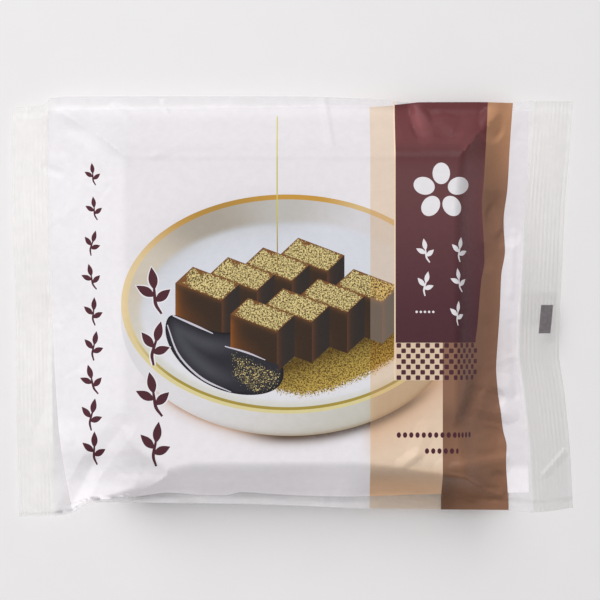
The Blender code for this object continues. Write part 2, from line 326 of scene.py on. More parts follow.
def rounded(distance, radius):
    """Distance past an edge, rounded at the edge, and nought before it."""
    near = np.clip(distance + radius, 0, None) ** 2 / (4 * radius)
    return np.where(distance > radius, distance, near)


def descent(distance, reach, curve):
    """Share of the drop that the film has made at a distance past the tray's edge."""
    share = np.clip(rounded(distance, TRAY_EDGE_RADIUS) / reach, 0, 1)
    return 1 - (1 - share) ** curve


def lipped(share):
    """Share of a drop that is over a little before the film's edge, which leaves a nearly level lip."""
    reached = LIP_RATE * share
    return reached - rounded(reached - 1, LIP_CURVE)


def soft_max(a, b, radius):
    """The larger of two amounts, rounded where they meet, and nought where both are."""
    larger = np.maximum(a, b)
    near = np.clip(radius - np.abs(a - b), 0, None) * np.clip(larger / radius, 0, 1)
    return larger + near ** 2 / (4 * radius)


def line_relief(x, y, start, end, rise, left, right, crest):
    """A ridge or valley along a short line, with its own half width on each side."""
    along = np.subtract(end, start)
    length = np.hypot(*along)
    ax, ay = along / length
    run = (x - start[0]) * ax + (y - start[1]) * ay
    off = (y - start[1]) * ax - (x - start[0]) * ay
    width = np.where(off > 0, left, right)
    past = np.maximum(np.maximum(-run, run - length), 0)
    reach = np.sqrt((off / width) ** 2 + (past / max(left, right)) ** 2 + (crest / width) ** 2)
    return rise * np.clip(1 - reach, 0, None)


def relief(x, y, lines, crest):
    """Height that ridges and valleys add: each has a start, an end, a rise, and one half width or two."""
    total = np.zeros_like(x)
    for start, end, rise, *widths in lines:
        total += line_relief(x, y, start, end, rise, widths[0], widths[-1], crest)
    return total


def facet_relief(x, y):
    """Height of the tilted patches, each turned about its own middle and soft at its border."""
    total = np.zeros_like(x)
    for (cx, cy), half_length, half_width, turn, tilt_x, tilt_y in FACETS:
        a = np.radians(turn)
        along = (x - cx) * np.cos(a) + (y - cy) * np.sin(a)
        aside = (y - cy) * np.cos(a) - (x - cx) * np.sin(a)
        share = 1 - ramp(np.hypot(along / half_length, aside / half_width), 0.7, 1.25)
        total += share * (tilt_x * (x - cx) + tilt_y * (y - cy))
    return total


def make_crinkles():
    """Small creases at random places: start, end, rise and two half widths."""
    draw = np.random.default_rng(CRINKLE_SEED)
    crinkles = []
    for _ in range(CRINKLE_COUNT):
        start = np.array((draw.uniform(-HALF_LENGTH, HALF_LENGTH), draw.uniform(*CRINKLE_ROWS)))
        turn = draw.uniform(0, np.pi)
        length = draw.uniform(*CRINKLE_LENGTHS)
        end = start + length * np.array((np.cos(turn), np.sin(turn)))
        rise = CRINKLE_RISE * draw.choice((-1, 1)) * draw.uniform(0.4, 1)
        crinkles.append((start, end, rise, draw.uniform(*CRINKLE_WIDTHS), draw.uniform(*CRINKLE_WIDTHS)))
    return crinkles


CRINKLES = make_crinkles()


def waves(x, y):
    """Gentle waves of slack film."""
    first = np.sin(x / 6.1 + 1.3 * np.sin(y / 11.0)) * np.sin(y / 7.3 + 0.9 * np.sin(x / 13.0))
    second = np.sin(x / 3.1 + y / 9.7 + 1.1 * np.sin(y / 5.0 + x / 17.0))
    return WAVE_RISE * first + RIPPLE_RISE * second


def seal_height(y, side):
    """Height of a seal's inner edge, lower at the corners and gently waved."""
    bend = np.clip(np.abs(y) / HALF_WIDTH, 0, 1) ** 2
    wave = SEAL_WAVE * np.sin(y / WAVE_LENGTH + side) * (1 - bend)
    return SEAL_HEIGHT + (CORNER_HEIGHT - SEAL_HEIGHT) * bend + wave


def fold_height(x, y):
    """Height of the folded long edges, lower at the corners and where the band meets the lower edge."""
    bend = np.clip(np.abs(x) / HALF_LENGTH, 0, 1) ** 4
    upper = FOLD_HEIGHT + (CORNER_HEIGHT - FOLD_HEIGHT) * bend
    return np.where(y < 0, smooth_curve(LOWER_FOLD_HEIGHT, x), upper)


def inner_edges(y):
    """X of the inner edges of the two end seals at a place across the pack."""
    left = smooth_curve(LEFT_EDGE, y) + LEFT_RIBS * RIB_PITCH
    right = smooth_curve(RIGHT_EDGE, y) - RIGHT_RIBS * RIB_PITCH
    return left, right


def drops(x, y, inset):
    """Drop of the film past the four tray edges, with the tray drawn in by an inset."""
    left = smooth_curve(TRAY_LEFT, y) + inset - x
    right = x - smooth_curve(TRAY_RIGHT, y) + inset
    top_gap = smooth_curve(TOP_EDGE, x) - TRAY_TOP
    bottom_gap = smooth_curve(TRAY_BOTTOM, x) - smooth_curve(BOTTOM_EDGE, x)
    top = y - TRAY_TOP + inset
    bottom = smooth_curve(TRAY_BOTTOM, x) + inset - y
    ends = np.maximum(descent(left, smooth_curve(LEFT_REACH, y) + inset, LEFT_CURVE),
                      descent(right, RIGHT_REACH + inset, RIGHT_CURVE))
    sides = np.maximum(descent(top, top_gap + inset, TOP_CURVE),
                       descent(bottom, bottom_gap + inset, smooth_curve(BOTTOM_CURVE, x)))
    sides = lipped(sides)
    return ends, sides


def ribs(x, y):
    """Corrugation of the two end seals, pressed more deeply in some places than in others."""
    left = x - smooth_curve(LEFT_EDGE, y)
    right = smooth_curve(RIGHT_EDGE, y) - x
    total = np.zeros_like(x)
    for depth, count in ((left, LEFT_RIBS), (right, RIGHT_RIBS)):
        inside = (depth > 0) & (depth < count * RIB_PITCH)
        pressed = 0.6 + 0.4 * np.sin(y / 9.0 + 2.3 * np.sin(depth / 3.1) + count)
        total += np.where(inside, pressed * (0.5 - 0.5 * np.cos(2 * np.pi * depth / RIB_PITCH)), 0)
    return RIB_HEIGHT * total


def seal_share(x, y):
    """How far into a seal a place is: nought on the body, and one at the ninth rib."""
    left, right = inner_edges(y)
    return np.clip(np.maximum(left - x, x - right) / (LEFT_RIBS * RIB_PITCH), 0, 1)


def front_height(x, y):
    """Height of the printed film that faces up."""
    ends, sides = drops(x, y, 0.0)
    end_drop = (PACK_HEIGHT - seal_height(y, np.sign(x))) * ends
    side_drop = (PACK_HEIGHT - fold_height(x, y)) * sides
    crown = CROWN * np.cos(np.clip(x / CROWN_LENGTH, -1, 1) * np.pi / 2)
    crown = crown * np.cos(np.clip(y / CROWN_WIDTH, -1, 1) * np.pi / 2)
    rounding = HIP_RADIUS + (CORNER_RADIUS - HIP_RADIUS) * ramp(np.minimum(ends, sides), *CORNER_FADE)
    height = PACK_HEIGHT - CROWN + crown - soft_max(end_drop, side_drop, rounding)
    slack = FLAT_SHARE + (1 - FLAT_SHARE) * ramp(np.maximum(ends, sides), *SLACK_FADE)
    sealed = seal_share(x, y)
    slack = slack * (1 - SEAL_CALM * np.clip(sealed * 3, 0, 1))
    fine = relief(x, y, CREASES, CREASE_CREST) + slack * (relief(x, y, CRINKLES, CRINKLE_CREST) + waves(x, y))
    height = np.maximum(height + relief(x, y, FOLDS, FOLD_CREST), LOWEST_FOLD) + facet_relief(x, y) + fine
    return height - SEAL_DROOP * sealed ** 1.5 + ribs(x, y)


def film_gap(x, y):
    """Least gap between the front and the back: a fold's along the long edges, thin at the seals."""
    left, right = inner_edges(y)
    inside = np.minimum(x - left, right - x)
    return SEAL_FILM + (FOLD_FILM - SEAL_FILM) * ramp(inside, 0, 4)


def back_height(x, y):
    """Height of the film underneath: flat under the tray and rising to the edges."""
    ends, sides = drops(x, y, TRAY_DRAFT)
    end_rise = seal_height(y, np.sign(x)) * ends ** BACK_CURVE
    side_rise = fold_height(x, y) * sides ** BACK_CURVE
    rise = soft_max(end_rise, side_rise, HIP_RADIUS)
    return np.minimum(rise, front_height(x, y) - film_gap(x, y))


def surface_normals(height, x, y, up):
    """Outward directions of a height field, from small differences."""
    slope_x = (height(x + SLOPE_NUDGE, y) - height(x - SLOPE_NUDGE, y)) / (2 * SLOPE_NUDGE)
    slope_y = (height(x, y + SLOPE_NUDGE) - height(x, y - SLOPE_NUDGE)) / (2 * SLOPE_NUDGE)
    normals = np.stack([-slope_x, -slope_y, np.ones_like(x)], axis=-1)
    normals /= np.linalg.norm(normals, axis=-1, keepdims=True)
    return normals if up else -normals


# Colours

def srgb(red, green, blue):
    """Linear colour from display values out of 255."""
    value = np.array((red, green, blue)) / 255
    return np.where(value <= 0.04045, value / 12.92, ((value + 0.055) / 1.055) ** 2.4)


def mixed(first, second, share):
    """Blend of two colours, or of two rows of colours, by a share for each point."""
    share = np.asarray(share)[..., None]
    return np.asarray(first) * (1 - share) + np.asarray(second) * share


# Light that the film's gloss adds, which the dark inks leave out
SHEEN = 0.014

WHITE = srgb(235, 232, 235)
PICTURE_GREY = srgb(235, 231, 235)
BEIGE_TINT = np.array((0.95, 0.80, 0.63))
# BEIGE_LOW is browner lower down, partly the print and partly painted shade; BEIGE_FOOT is painted shade on
# the lower slope.
BEIGE_LOW = np.array((0.97, 0.79, 0.58))
BEIGE_FOOT = np.array((0.83, 0.56, 0.34))
BEIGE_COVER = 0.17
CREAM = srgb(226, 214, 202)
# The maroon's tones along Y stand in for light: painted sheen, strongest towards the upper edge and least
# lower down.
MAROON = srgb(110, 74, 76) - SHEEN
MAROON_TOP = srgb(112, 66, 68) - SHEEN
MAROON_LOW = srgb(86, 57, 63) - SHEEN
# The brown's tones along Y stand in for light: BROWN_TOP holds painted sheen, and BROWN_LOW is painted light
# low down.
BROWN = srgb(146, 110, 91) - SHEEN
BROWN_TOP = srgb(184, 138, 106) - SHEEN
BROWN_LOW = srgb(161, 120, 96) - SHEEN
DARK_INK = srgb(86, 52, 60) - SHEEN
EDGE_LIGHT = srgb(243, 216, 186)
OCHRE_TOP = srgb(201, 152, 66)
OCHRE_BACK = srgb(172, 134, 66)
OCHRE_PALE = srgb(216, 186, 132)
OCHRE_LEFT = srgb(226, 203, 158)
OCHRE_FRONT = srgb(220, 208, 152)
OCHRE_LINE = srgb(160, 138, 44)
THREAD_LOW = srgb(150, 118, 62)
INNER_RIGHT = srgb(218, 215, 219)
INNER_TOP = srgb(190, 187, 182)
INNER_DARK = srgb(170, 161, 149)
INNER_LEFT = srgb(207, 197, 181)
INNER_LOW = srgb(214, 213, 204)
WELL = srgb(217, 219, 227)
WELL_LOW = srgb(228, 227, 232)
WELL_EDGE = srgb(190, 192, 194)
WALL = srgb(224, 221, 224)
WALL_LOW = srgb(196, 193, 180)
WALL_FOOT = srgb(150, 124, 86)
SHADOW_WARM = srgb(178, 130, 78)
SHADOW_GREY = srgb(64, 42, 12)
JELLY_DARK = srgb(62, 49, 40) - SHEEN * 0.5
JELLY_SIDE = srgb(54, 49, 47) - SHEEN * 0.5
JELLY_AMBER = srgb(150, 86, 32)
JELLY_TOP = srgb(122, 80, 44)
SYRUP = srgb(50, 50, 56) - SHEEN * 0.5
SYRUP_EDGE = srgb(32, 28, 32) - SHEEN * 0.3
SYRUP_SHEEN = srgb(108, 108, 118)
SYRUP_LIGHT = srgb(206, 202, 212)
THREAD = srgb(206, 194, 104)
POWDER_LIGHT = srgb(232, 212, 146)
POWDER_DARK = srgb(86, 68, 36)
PILE_LIGHT = srgb(230, 198, 100)
PILE_DARK = srgb(108, 80, 30)
HEAP_SHADE = 0.9
HEAP_SHADE_REACH = 8.0
MARK_GREY = srgb(120, 114, 117) - SHEEN
GLOW_TINT = np.array((0.24, 0.47, 0.64))
WALL_TINT = np.array((0.08, 0.24, 0.34))

# Soft areas of the print, and of painted light and shade on it: strength, then from where to where each fades
# in along X and along Y.
# Anywhere starts far outside the pack, so that it is one all over it.
ANYWHERE = (-1000, -999)
LOWER_SLOPE = (-52.8, -56)
WARM_SHADOW = (0.8, (30, -10), ANYWHERE)
GREY_SHADOW = (0.92, (-24, -2), ANYWHERE)
PLATE_GLOW = (1, (22, 28), (2, -14))
PLATE_HALO = (0.07, (30, -6), (8, 24))
# PALE_FOOT, PALE_CORNER and PALE_SLOPE are painted light: on the lower face, at the lower left corner and
# along the lower slope.
PALE_FOOT = (0.03, (-56, -46), (-20, -46))
PALE_CORNER = (0.11, (-50, -62), (-36, -46))
PALE_SLOPE = [(0.17, ANYWHERE, LOWER_SLOPE), (-0.04, (-40, -25), LOWER_SLOPE), (0.06, (-5, 15), LOWER_SLOPE)]
WELL_BACK = (0.9, (14, -6), (-12, 18))
WALL_SHADE = (0.75, (-50, 10), ANYWHERE)
# MAROON_SLOPE is painted light on the maroon's right slope.
MAROON_SLOPE = (1, (56.5, 60), (56, 52))
# BROWN_DEEP is painted shade on the brown's lower left.
BROWN_DEEP = (1, (62, 52), (-30, -38))
# BEIGE_PALE is painted light on the beige along the lower edge.
BEIGE_PALE = (0.06, ANYWHERE, (-60, -63))

# How far the tones at an edge reach, in millimetres
WARM_REACH = 1.6
GREY_REACH = 2.6
GLOW_REACH = 7
HALO_REACH = 5
WELL_REACH = 3.6
WALL_REACH = 0.9

# Bands of painted shade across the print, at the film's bend over the tray's upper edge and in a fold of the
# beige near the lower edge: strength, middle in Y and half width
UPPER_BEND = (0.025, 53.5, 2.5)
BAND_BEND = (0.22, 52.4, 3.0)
BEIGE_FOLD = (0.24, -56.2, 3.2)

# Painted shade on the slope beside the tray's upper edge: strength, its fade in Y, its share lost near the
# film's edge
UPPER_SLOPE = (0.14, (48.5, 53.0))
UPPER_PALE = (0.6, (62, 68))

# Its two ends: X where the slope starts at a Y, how fast they move apart, and the width of the fade
UPPER_START = 52
UPPER_LEFT = (-57.6, 1.4, (-8, 2))
UPPER_RIGHT = (58.5, 0.9, (-3, 3))


def fading(distance, reach):
    """Share that is one up to an edge, and fades with the distance past it."""
    return np.exp(-np.clip(distance, 0, None) / reach)


def bell(value, middle, width):
    """Share that is one at a middle value, and falls off on both sides."""
    return np.exp(-((value - middle) / width) ** 2)


def area_tone(x, y, area):
    """Strength of a soft area of the print at each point."""
    strength, across, up = area
    return strength * ramp(x, *across) * ramp(y, *up)


def band_shade(y, band):
    """Strength of a band of painted shade across the print."""
    strength, middle, width = band
    return strength * bell(y, middle, width)


def even(colour):
    """A fill of one colour."""
    return lambda x, y: np.broadcast_to(colour, x.shape + (3,))


def ellipse_depth(x, y, ellipse):
    """Roughly how far inside an ellipse each point is, in millimetres."""
    cx, cy, a, b = ellipse
    reach = np.hypot((x - cx) / a, (y - cy) / b)
    turn = np.arctan2(y - cy, x - cx)
    return (1 - reach) * a * b / np.hypot(b * np.cos(turn), a * np.sin(turn))


def polygon_depth(x, y, points):
    """Distance inside a polygon's edge, negative outside it."""
    points = np.asarray(points, float)
    inside = np.zeros(x.shape, bool)
    nearest = np.full(x.shape, 1e9)
    for a, b in zip(points, np.roll(points, -1, axis=0)):
        edge = b - a
        t = np.clip(((x - a[0]) * edge[0] + (y - a[1]) * edge[1]) / max(edge @ edge, 1e-9), 0, 1)
        nearest = np.minimum(nearest, np.hypot(x - a[0] - t * edge[0], y - a[1] - t * edge[1]))
        crosses = (a[1] > y) != (b[1] > y)
        rise = b[1] - a[1] if abs(b[1] - a[1]) > 1e-9 else 1e-9
        inside ^= crosses & (x < a[0] + (y - a[1]) * edge[0] / rise)
    return np.where(inside, nearest, -nearest)


def white_ink(x, y):
    """White print, a touch greyer round the picture, with the printed plate's shadow, glow and halo, and
    painted light and shade on its slopes and lower face.
    """
    picture = ramp(x, -66, -40) * (1 - ramp(np.abs(y - 6), 40, 60) * 0.5)
    outside = np.clip(-ellipse_depth(x, y, PLATE_WALL), 0, None)
    below = ramp((PLATE_WALL[1] - y) / PLATE_WALL[3], 0.45, 0.8)
    warm = area_tone(x, y, WARM_SHADOW) * fading(outside, WARM_REACH) * below
    colour = mixed(mixed(WHITE, PICTURE_GREY, picture), SHADOW_WARM, warm)
    colour = mixed(colour, SHADOW_GREY, area_tone(x, y, GREY_SHADOW) * bell(outside, 0, GREY_REACH) * below)
    glow = area_tone(x, y, PLATE_GLOW) * fading(outside, GLOW_REACH)
    colour = colour * (1 - glow[..., None] * GLOW_TINT)
    halo = area_tone(x, y, PLATE_HALO) * fading(-ellipse_depth(x, y, PLATE_RIM), HALO_REACH)
    return colour * (painted_slope_light(x, y) - halo + area_tone(x, y, PALE_FOOT))[..., None]


def painted_slope_light(x, y):
    """Painted light and shade on the print's slopes: painted shade along the upper edge and in a band at its
    bend, and painted light along the lower slope and at the lower left corner.
    """
    ends = 1
    for (start, rate, fade), inward in ((UPPER_LEFT, 1), (UPPER_RIGHT, -1)):
        ends = ends * ramp(inward * (x - start) + rate * (y - UPPER_START), *fade)
    upper = UPPER_SLOPE[0] * ramp(y, *UPPER_SLOPE[1]) * (1 - UPPER_PALE[0] * ramp(y, *UPPER_PALE[1])) * ends
    lower = sum(area_tone(x, y, area) for area in PALE_SLOPE)
    bend = band_shade(y, UPPER_BEND) * ramp(x, -60, -50)
    return 1 - upper + np.maximum(lower, area_tone(x, y, PALE_CORNER)) - bend


def rim_ink(x, y):
    """Ochre rim of the printed plate: dark behind, paler at the left and in front."""
    turn = np.arctan2(y - PLATE_RIM[1], x - PLATE_RIM[0])
    colour = mixed(OCHRE_LEFT, OCHRE_TOP, ramp(np.sin(turn), 0.2, 0.75))
    colour = mixed(colour, OCHRE_BACK, 0.8 * bell(np.degrees(turn), 125, 22))
    colour = mixed(colour, OCHRE_FRONT, ramp(-np.sin(turn), 0.0, 0.55))
    return mixed(colour, OCHRE_PALE, ramp(x, 8, 24) * ramp(y, 0, 10))


def line_ink(x, y):
    """Thin deeper line along the inner edge of the plate's rim, in front."""
    turn = np.arctan2(y - PLATE_RIM[1], x - PLATE_RIM[0])
    return mixed(rim_ink(x, y), OCHRE_LINE, 0.9 * ramp(-np.sin(turn), 0.1, 0.6))


def inner_ink(x, y):
    """Inside wall of the printed plate, darkest at its back left, which melts into the well."""
    turn = np.degrees(np.arctan2(y - PLATE_INNER[1], x - PLATE_INNER[0])) % 360
    colour = mixed(INNER_RIGHT, INNER_TOP, ramp(turn, 40, 90))
    colour = mixed(colour, INNER_DARK, ramp(turn, 92, 132))
    colour = mixed(colour, INNER_LEFT, ramp(turn, 140, 165))
    colour = mixed(colour, INNER_LOW, ramp(turn, 172, 205))
    outside_well = -ellipse_depth(x, y, PLATE_WELL)
    return mixed(well_ink(x, y), colour, ramp(outside_well, -2.1, 1.0))


def well_ink(x, y):
    """Pale middle of the printed plate, a little darker at its edge."""
    colour = mixed(WELL_LOW, WELL, ramp(y, -26, 14))
    edge = area_tone(x, y, WELL_BACK) * fading(ellipse_depth(x, y, PLATE_WELL), WELL_REACH)
    return mixed(colour, WELL_EDGE, edge)


def wall_ink(x, y):
    """Outer wall of the printed plate below its rim."""
    colour = mixed(WALL, WALL_LOW, ramp(x - y, -10, 80))
    foot = area_tone(x, y, WALL_SHADE) * fading(ellipse_depth(x, y, PLATE_WALL), WALL_REACH)
    return mixed(colour, WALL_FOOT, foot) * (1 - ramp(x, 24, 30)[..., None] * WALL_TINT)


def beige_tint(x, y):
    """Beige ink over the white and the picture, browner towards the lower edge, partly in the print and
    partly painted shade; darker on the lower slope and in a fold there with painted shade, and paler at the
    very edge with painted light.
    """
    colour = mixed(BEIGE_FOOT, mixed(BEIGE_LOW, BEIGE_TINT, ramp(y, -50, 10)), ramp(y, -60, -52))
    return colour * (1 - band_shade(y, BEIGE_FOLD) + area_tone(x, y, BEIGE_PALE))[..., None]


def turned_apart(x, y, line):
    """Distances along and beside a line, from its middle; the line is a middle and a turn in degrees."""
    (cx, cy), turn = line
    a = np.radians(turn)
    return (x - cx) * np.cos(a) + (y - cy) * np.sin(a), (y - cy) * np.cos(a) - (x - cx) * np.sin(a)


def maroon_ink(x, y):
    """Maroon ink with painted light and shade: painted sheen that is strongest towards the upper edge,
    painted light on the right slope, a painted highlight on a crease, and painted shade where the film bends
    over the tray.
    """
    colour = mixed(mixed(MAROON_LOW, MAROON, ramp(y, -12, 45)), MAROON_TOP, ramp(y, 44, 56))
    # Painted light on the right slope, and a painted highlight on a crease.
    slope = area_tone(x, y, MAROON_SLOPE) * (0.28 + 0.14 * ramp(y, 10, 40))
    along, aside = turned_apart(x, y, GLINT)
    glint = 0.6 * bell(along, 0, 5.0) * bell(aside, 0, 1.9)
    return colour * ((1 - band_shade(y, BAND_BEND)) * (1 + slope + glint))[..., None]


def brown_ink(x, y):
    """Brown ink with painted light and shade: painted sheen towards the upper edge, a painted lighter tone
    low down, and painted shade at its lower left, on the lower slope and along a crease.
    """
    colour = mixed(mixed(BROWN_LOW, BROWN, ramp(y, -52, -34)), BROWN_TOP, ramp(y, 34, 62))
    left = area_tone(x, y, BROWN_DEEP)
    foot = ramp(y, -51, -57)
    along, aside = turned_apart(x, y, SHADE_STREAK)
    # Painted shade along a crease.
    streak_shade = 0.24 * np.exp(-(along / 8.0) ** 4) * bell(aside, 0, 2.2)
    return colour * (1 - 0.28 * np.maximum(left, 0.6 * foot) - 0.18 * left * foot - streak_shade)[..., None]


def side_ink(corner):
    """Front-left face of a jelly slice: amber at its left edge and along its foot."""
    def ink(x, y):
        run = (x - corner[0]) / SLICE_LONG[0]
        down = (corner[1] + SLICE_LONG[1] * run - y) / SLICE_HEIGHT
        amber = 0.75 * fading(run, 0.10) * ramp(down, -0.1, 0.25)
        glow = 0.16 * ramp(down, 0.25, 0.8) * ramp(run, 0.9, 0.2)
        colour = mixed(JELLY_DARK, JELLY_AMBER, np.clip(amber + glow, 0, 1))
        edge = np.exp(-np.abs(down) / 0.05)
        return mixed(colour, JELLY_TOP, 0.45 * edge)
    return ink


def end_ink(corner):
    """Front-right face of a jelly slice, nearly black, with a light edge at its left."""
    def ink(x, y):
        run = (x - corner[0]) / SLICE_SHORT[0]
        return mixed(JELLY_SIDE, JELLY_AMBER, 0.28 * fading(run, 0.16))
    return ink


def syrup_ink(x, y):
    """Dark syrup, darkest at its edge, with a soft grey sheen inside its left side."""
    depth = polygon_depth(x, y, SYRUP_POOL)
    colour = mixed(SYRUP_EDGE, SYRUP, ramp(depth, 0.2, 1.2))
    sheen = 0.32 * ramp(depth, 1.0, 4.5) * ramp(depth, 9.0, 4.5) * ramp(x, -14, -30)
    return mixed(colour, SYRUP_SHEEN, sheen)


def thread_ink(x, y):
    """Thread of poured syrup, paler towards its top."""
    return mixed(THREAD_LOW, THREAD, ramp(y, 14, 34))


# Printed shapes

def box(left, right, low, high):
    """Corners of an upright rectangle."""
    return [(left, low), (right, low), (right, high), (left, high)]


def ellipse(cx, cy, a, b, count=240):
    """Points round an ellipse."""
    turns = np.linspace(0, 2 * np.pi, count, endpoint=False)
    return np.stack([cx + a * np.cos(turns), cy + b * np.sin(turns)], axis=1)


def turned(points, angle, centre, size=1.0):
    """Points turned by an angle in degrees, sized, and moved to a place."""
    a = np.radians(angle)
    spin = np.array([[np.cos(a), np.sin(a)], [-np.sin(a), np.cos(a)]])
    return np.asarray(points) * size @ spin + np.asarray(centre)


def stroke(points, widths):
    """Outline of a brush stroke along a few points, with a width at each."""
    places = np.linspace(0, 1, len(points))
    at = np.linspace(0, 1, 16)
    path = np.stack([smooth_curve(list(zip(places, np.array(points)[:, i])), at) for i in (0, 1)], axis=1)
    half = smooth_curve(list(zip(places, widths)), at)[:, None] / 2
    along = np.gradient(path, axis=0)
    along /= np.linalg.norm(along, axis=1, keepdims=True)
    aside = np.stack([-along[:, 1], along[:, 0]], axis=1)
    return np.concatenate([path + aside * half, (path - aside * half)[::-1]])


def leaf(length, width):
    """A pointed leaf from the origin along +Y, fullest below its middle."""
    s = np.linspace(0, 1, 12)
    half = width / 2 * np.sin(np.pi * s ** 0.85)
    right = np.stack([half, s * length], axis=1)
    left = np.stack([-half, s * length], axis=1)[::-1]
    return np.concatenate([right, left[1:-1]])


def sprig(centre, size, angle, margin=0.0):
    """A tea sprig of three leaves on a short curved stem, as outlines about one size tall."""
    grown = margin / size
    widths = [width + 2 * grown for width in (0.05, 0.075, 0.05)]
    shapes = [stroke([(0.10, -0.52), (0.0, -0.25), (0.02, 0.1)], widths)]
    for turn, place, length in ((0, (0.02, 0.02), 0.5), (52, (0.0, -0.12), 0.46), (-58, (0.01, -0.24), 0.42)):
        blade = leaf(length + 2 * grown, 0.2 + 2 * grown)
        shapes.append(turned(blade - np.array((0, grown)), turn, place))
    return [turned(shape, angle, centre, size) for shape in shapes]


def blossom(centre, radius):
    """A plain blossom of five round petals."""
    petal = ellipse(0, 0.62 * radius, 0.30 * radius, 0.37 * radius, 40)
    return [turned(petal, 360 / 5 * k, centre) for k in range(5)]


def curve_points(points, low, high, upright=False):
    """Points along a curve; an upright one gives X for a Y."""
    at = np.linspace(low, high, max(2, int(abs(high - low) / OUTLINE_STEP)))
    value = smooth_curve(points, at)
    return np.stack([value, at] if upright else [at, value], axis=1)


def laid(flat, y):
    """Plan X of a place on the flat print, drawn together where the film slopes down at the right."""
    maroon, brown, white = (smooth_curve(c, y) for c in (MAROON_RIGHT, BROWN_RIGHT, WHITE_RIGHT))
    flat = np.asarray(flat, float)
    first = SLOPE_START + (flat - SLOPE_START) * (maroon - SLOPE_START) / (FLAT_MAROON_RIGHT - SLOPE_START)
    second = maroon + (flat - FLAT_MAROON_RIGHT) * (brown - maroon) / (FLAT_BROWN_RIGHT - FLAT_MAROON_RIGHT)
    third = brown + (flat - FLAT_BROWN_RIGHT) * (white - brown) / (FLAT_WHITE_RIGHT - FLAT_BROWN_RIGHT)
    return np.select([flat < SLOPE_START, flat < FLAT_MAROON_RIGHT, flat < FLAT_BROWN_RIGHT],
                     [flat, first, second], third)


def laid_shape(points):
    """A shape given on the flat print, as it lies on the pack."""
    points = np.asarray(points, float)
    return np.stack([laid(points[:, 0], points[:, 1]), points[:, 1]], axis=1)


def meeting(across, upright, x):
    """Where a curve across the pack meets an upright one, which gives X for a Y; starts near an X."""
    for _ in range(PASSES):
        y = float(smooth_curve(across, x))
        x = float(upright(y))
    return x, y


def white_field():
    """Outline of the white print."""
    corners = []
    for upright in (WHITE_LEFT, WHITE_RIGHT):
        for across in (WHITE_BOTTOM, WHITE_TOP):
            corners.append(meeting(across, lambda y: smooth_curve(upright, y), upright[0][1]))
    low_left, high_left, low_right, high_right = corners
    bottom = curve_points(WHITE_BOTTOM, low_left[0], low_right[0])
    right = curve_points(WHITE_RIGHT, low_right[1], high_right[1], upright=True)
    top = curve_points(WHITE_TOP, high_right[0], high_left[0])
    left = curve_points(WHITE_LEFT, high_left[1], low_left[1], upright=True)
    return np.concatenate([bottom[:-1], right[:-1], top[:-1], left[:-1]])


def slice_tops(origin, count):
    """Corners of the tops of a row of slices, each pushed along the one before."""
    tops = []
    for k in range(count):
        corner = origin + k * (SLICE_SHORT + SLICE_PUSH * SLICE_LONG)
        opposite = corner + SLICE_LONG + SLICE_SHORT
        tops.append(np.array([corner, corner + SLICE_LONG, opposite, corner + SLICE_SHORT]))
    return tops


def pool_outline():
    """Outline of the syrup: a round-ended pool that runs down to the right from the back slice's foot."""
    turns = np.linspace(0, 2 * np.pi, 120, endpoint=False)
    reach = 1 + 0.05 * np.sin(2 * turns + 0.6) + 0.03 * np.sin(3 * turns)
    pool = np.stack([21.5 * reach * np.cos(turns), 12.2 * reach * np.sin(turns)], axis=1)
    pool = turned(pool, -33, (-23.2, -15.1))
    foot = np.maximum(SYRUP_TOP[1] - SYRUP_TOP_FALL * (pool[:, 0] - SYRUP_TOP[0]), SYRUP_TOP_LOW)
    pool = np.stack([pool[:, 0], np.minimum(pool[:, 1], foot)], axis=1)
    return sum(np.roll(pool, k, axis=0) for k in range(-4, 5)) / 9


SYRUP_POOL = pool_outline()

BACK_TOPS = slice_tops(BACK_ROW, BACK_SLICES)
FRONT_TOPS = slice_tops(FRONT_ROW, FRONT_SLICES)
PILE = np.array([(-8.0, -27.6), (-6.0, -20.0), (3.5, -12.0), (14.0, -8.0), (24.0, -5.0), (40.5, 2.0),
                 (39.5, -10.5), (36.0, -17.2), (26.0, -23.6), (13.5, -28.8), (4.0, -30.6), (-4.0, -29.4)])
SYRUP_LIP = np.array([(-22.4, -13.3), (-15.5, -15.4), (-9.0, -18.0), (-4.6, -19.4), (-4.4, -24.5),
                      (-21.6, -20.0)])
SPECKLED = np.array([(-20.0, -15.5), (-12.0, -18.5), (-4.0, -22.0), (-5.0, -27.0), (-13.0, -29.0),
                     (-19.5, -24.0)])


def powder_amount(x, y):
    """Amount of loose powder: full on the slices' tops, thinner at their edges, and sparse in a speckled
    patch at the foot of the front slices.
    """
    amount = np.zeros_like(x)
    for tops, bare in ((BACK_TOPS, 3.2), (FRONT_TOPS, 1.6)):
        for k, top in enumerate(tops):
            depth = polygon_depth(x, y, top)
            cover = ramp(depth, -0.3, 1.1)
            back_corner = top[3] + 0.18 * (top[1] - top[0])
            cover = cover * (0.2 + 0.8 * ramp(np.hypot(x - back_corner[0], y - back_corner[1]), 1.0, bare))
            if k == 0:
                cover = cover * (0.2 + 0.8 * ramp(x - top[0][0], bare, bare + 3.5))
            amount = np.maximum(amount, cover)
    speckled = 0.30 * ramp(polygon_depth(x, y, SPECKLED), -1.2, 1.5)
    return np.maximum(amount, speckled)


def heap_amount(x, y):
    """Amount of powder in the heap on the plate."""
    return ramp(polygon_depth(x, y, PILE), -1.6, 4.2)


def heap_shade(x, y):
    """The heap of powder is darker in the shade at the foot of the front row."""
    start, end = FRONT_TOPS[0][1] - (0, SLICE_HEIGHT), FRONT_TOPS[-1][2] - (0, SLICE_HEIGHT)
    along = (end - start) / np.hypot(*(end - start))
    below = (x - start[0]) * along[1] - (y - start[1]) * along[0]
    return 1 - HEAP_SHADE * fading(below, HEAP_SHADE_REACH)


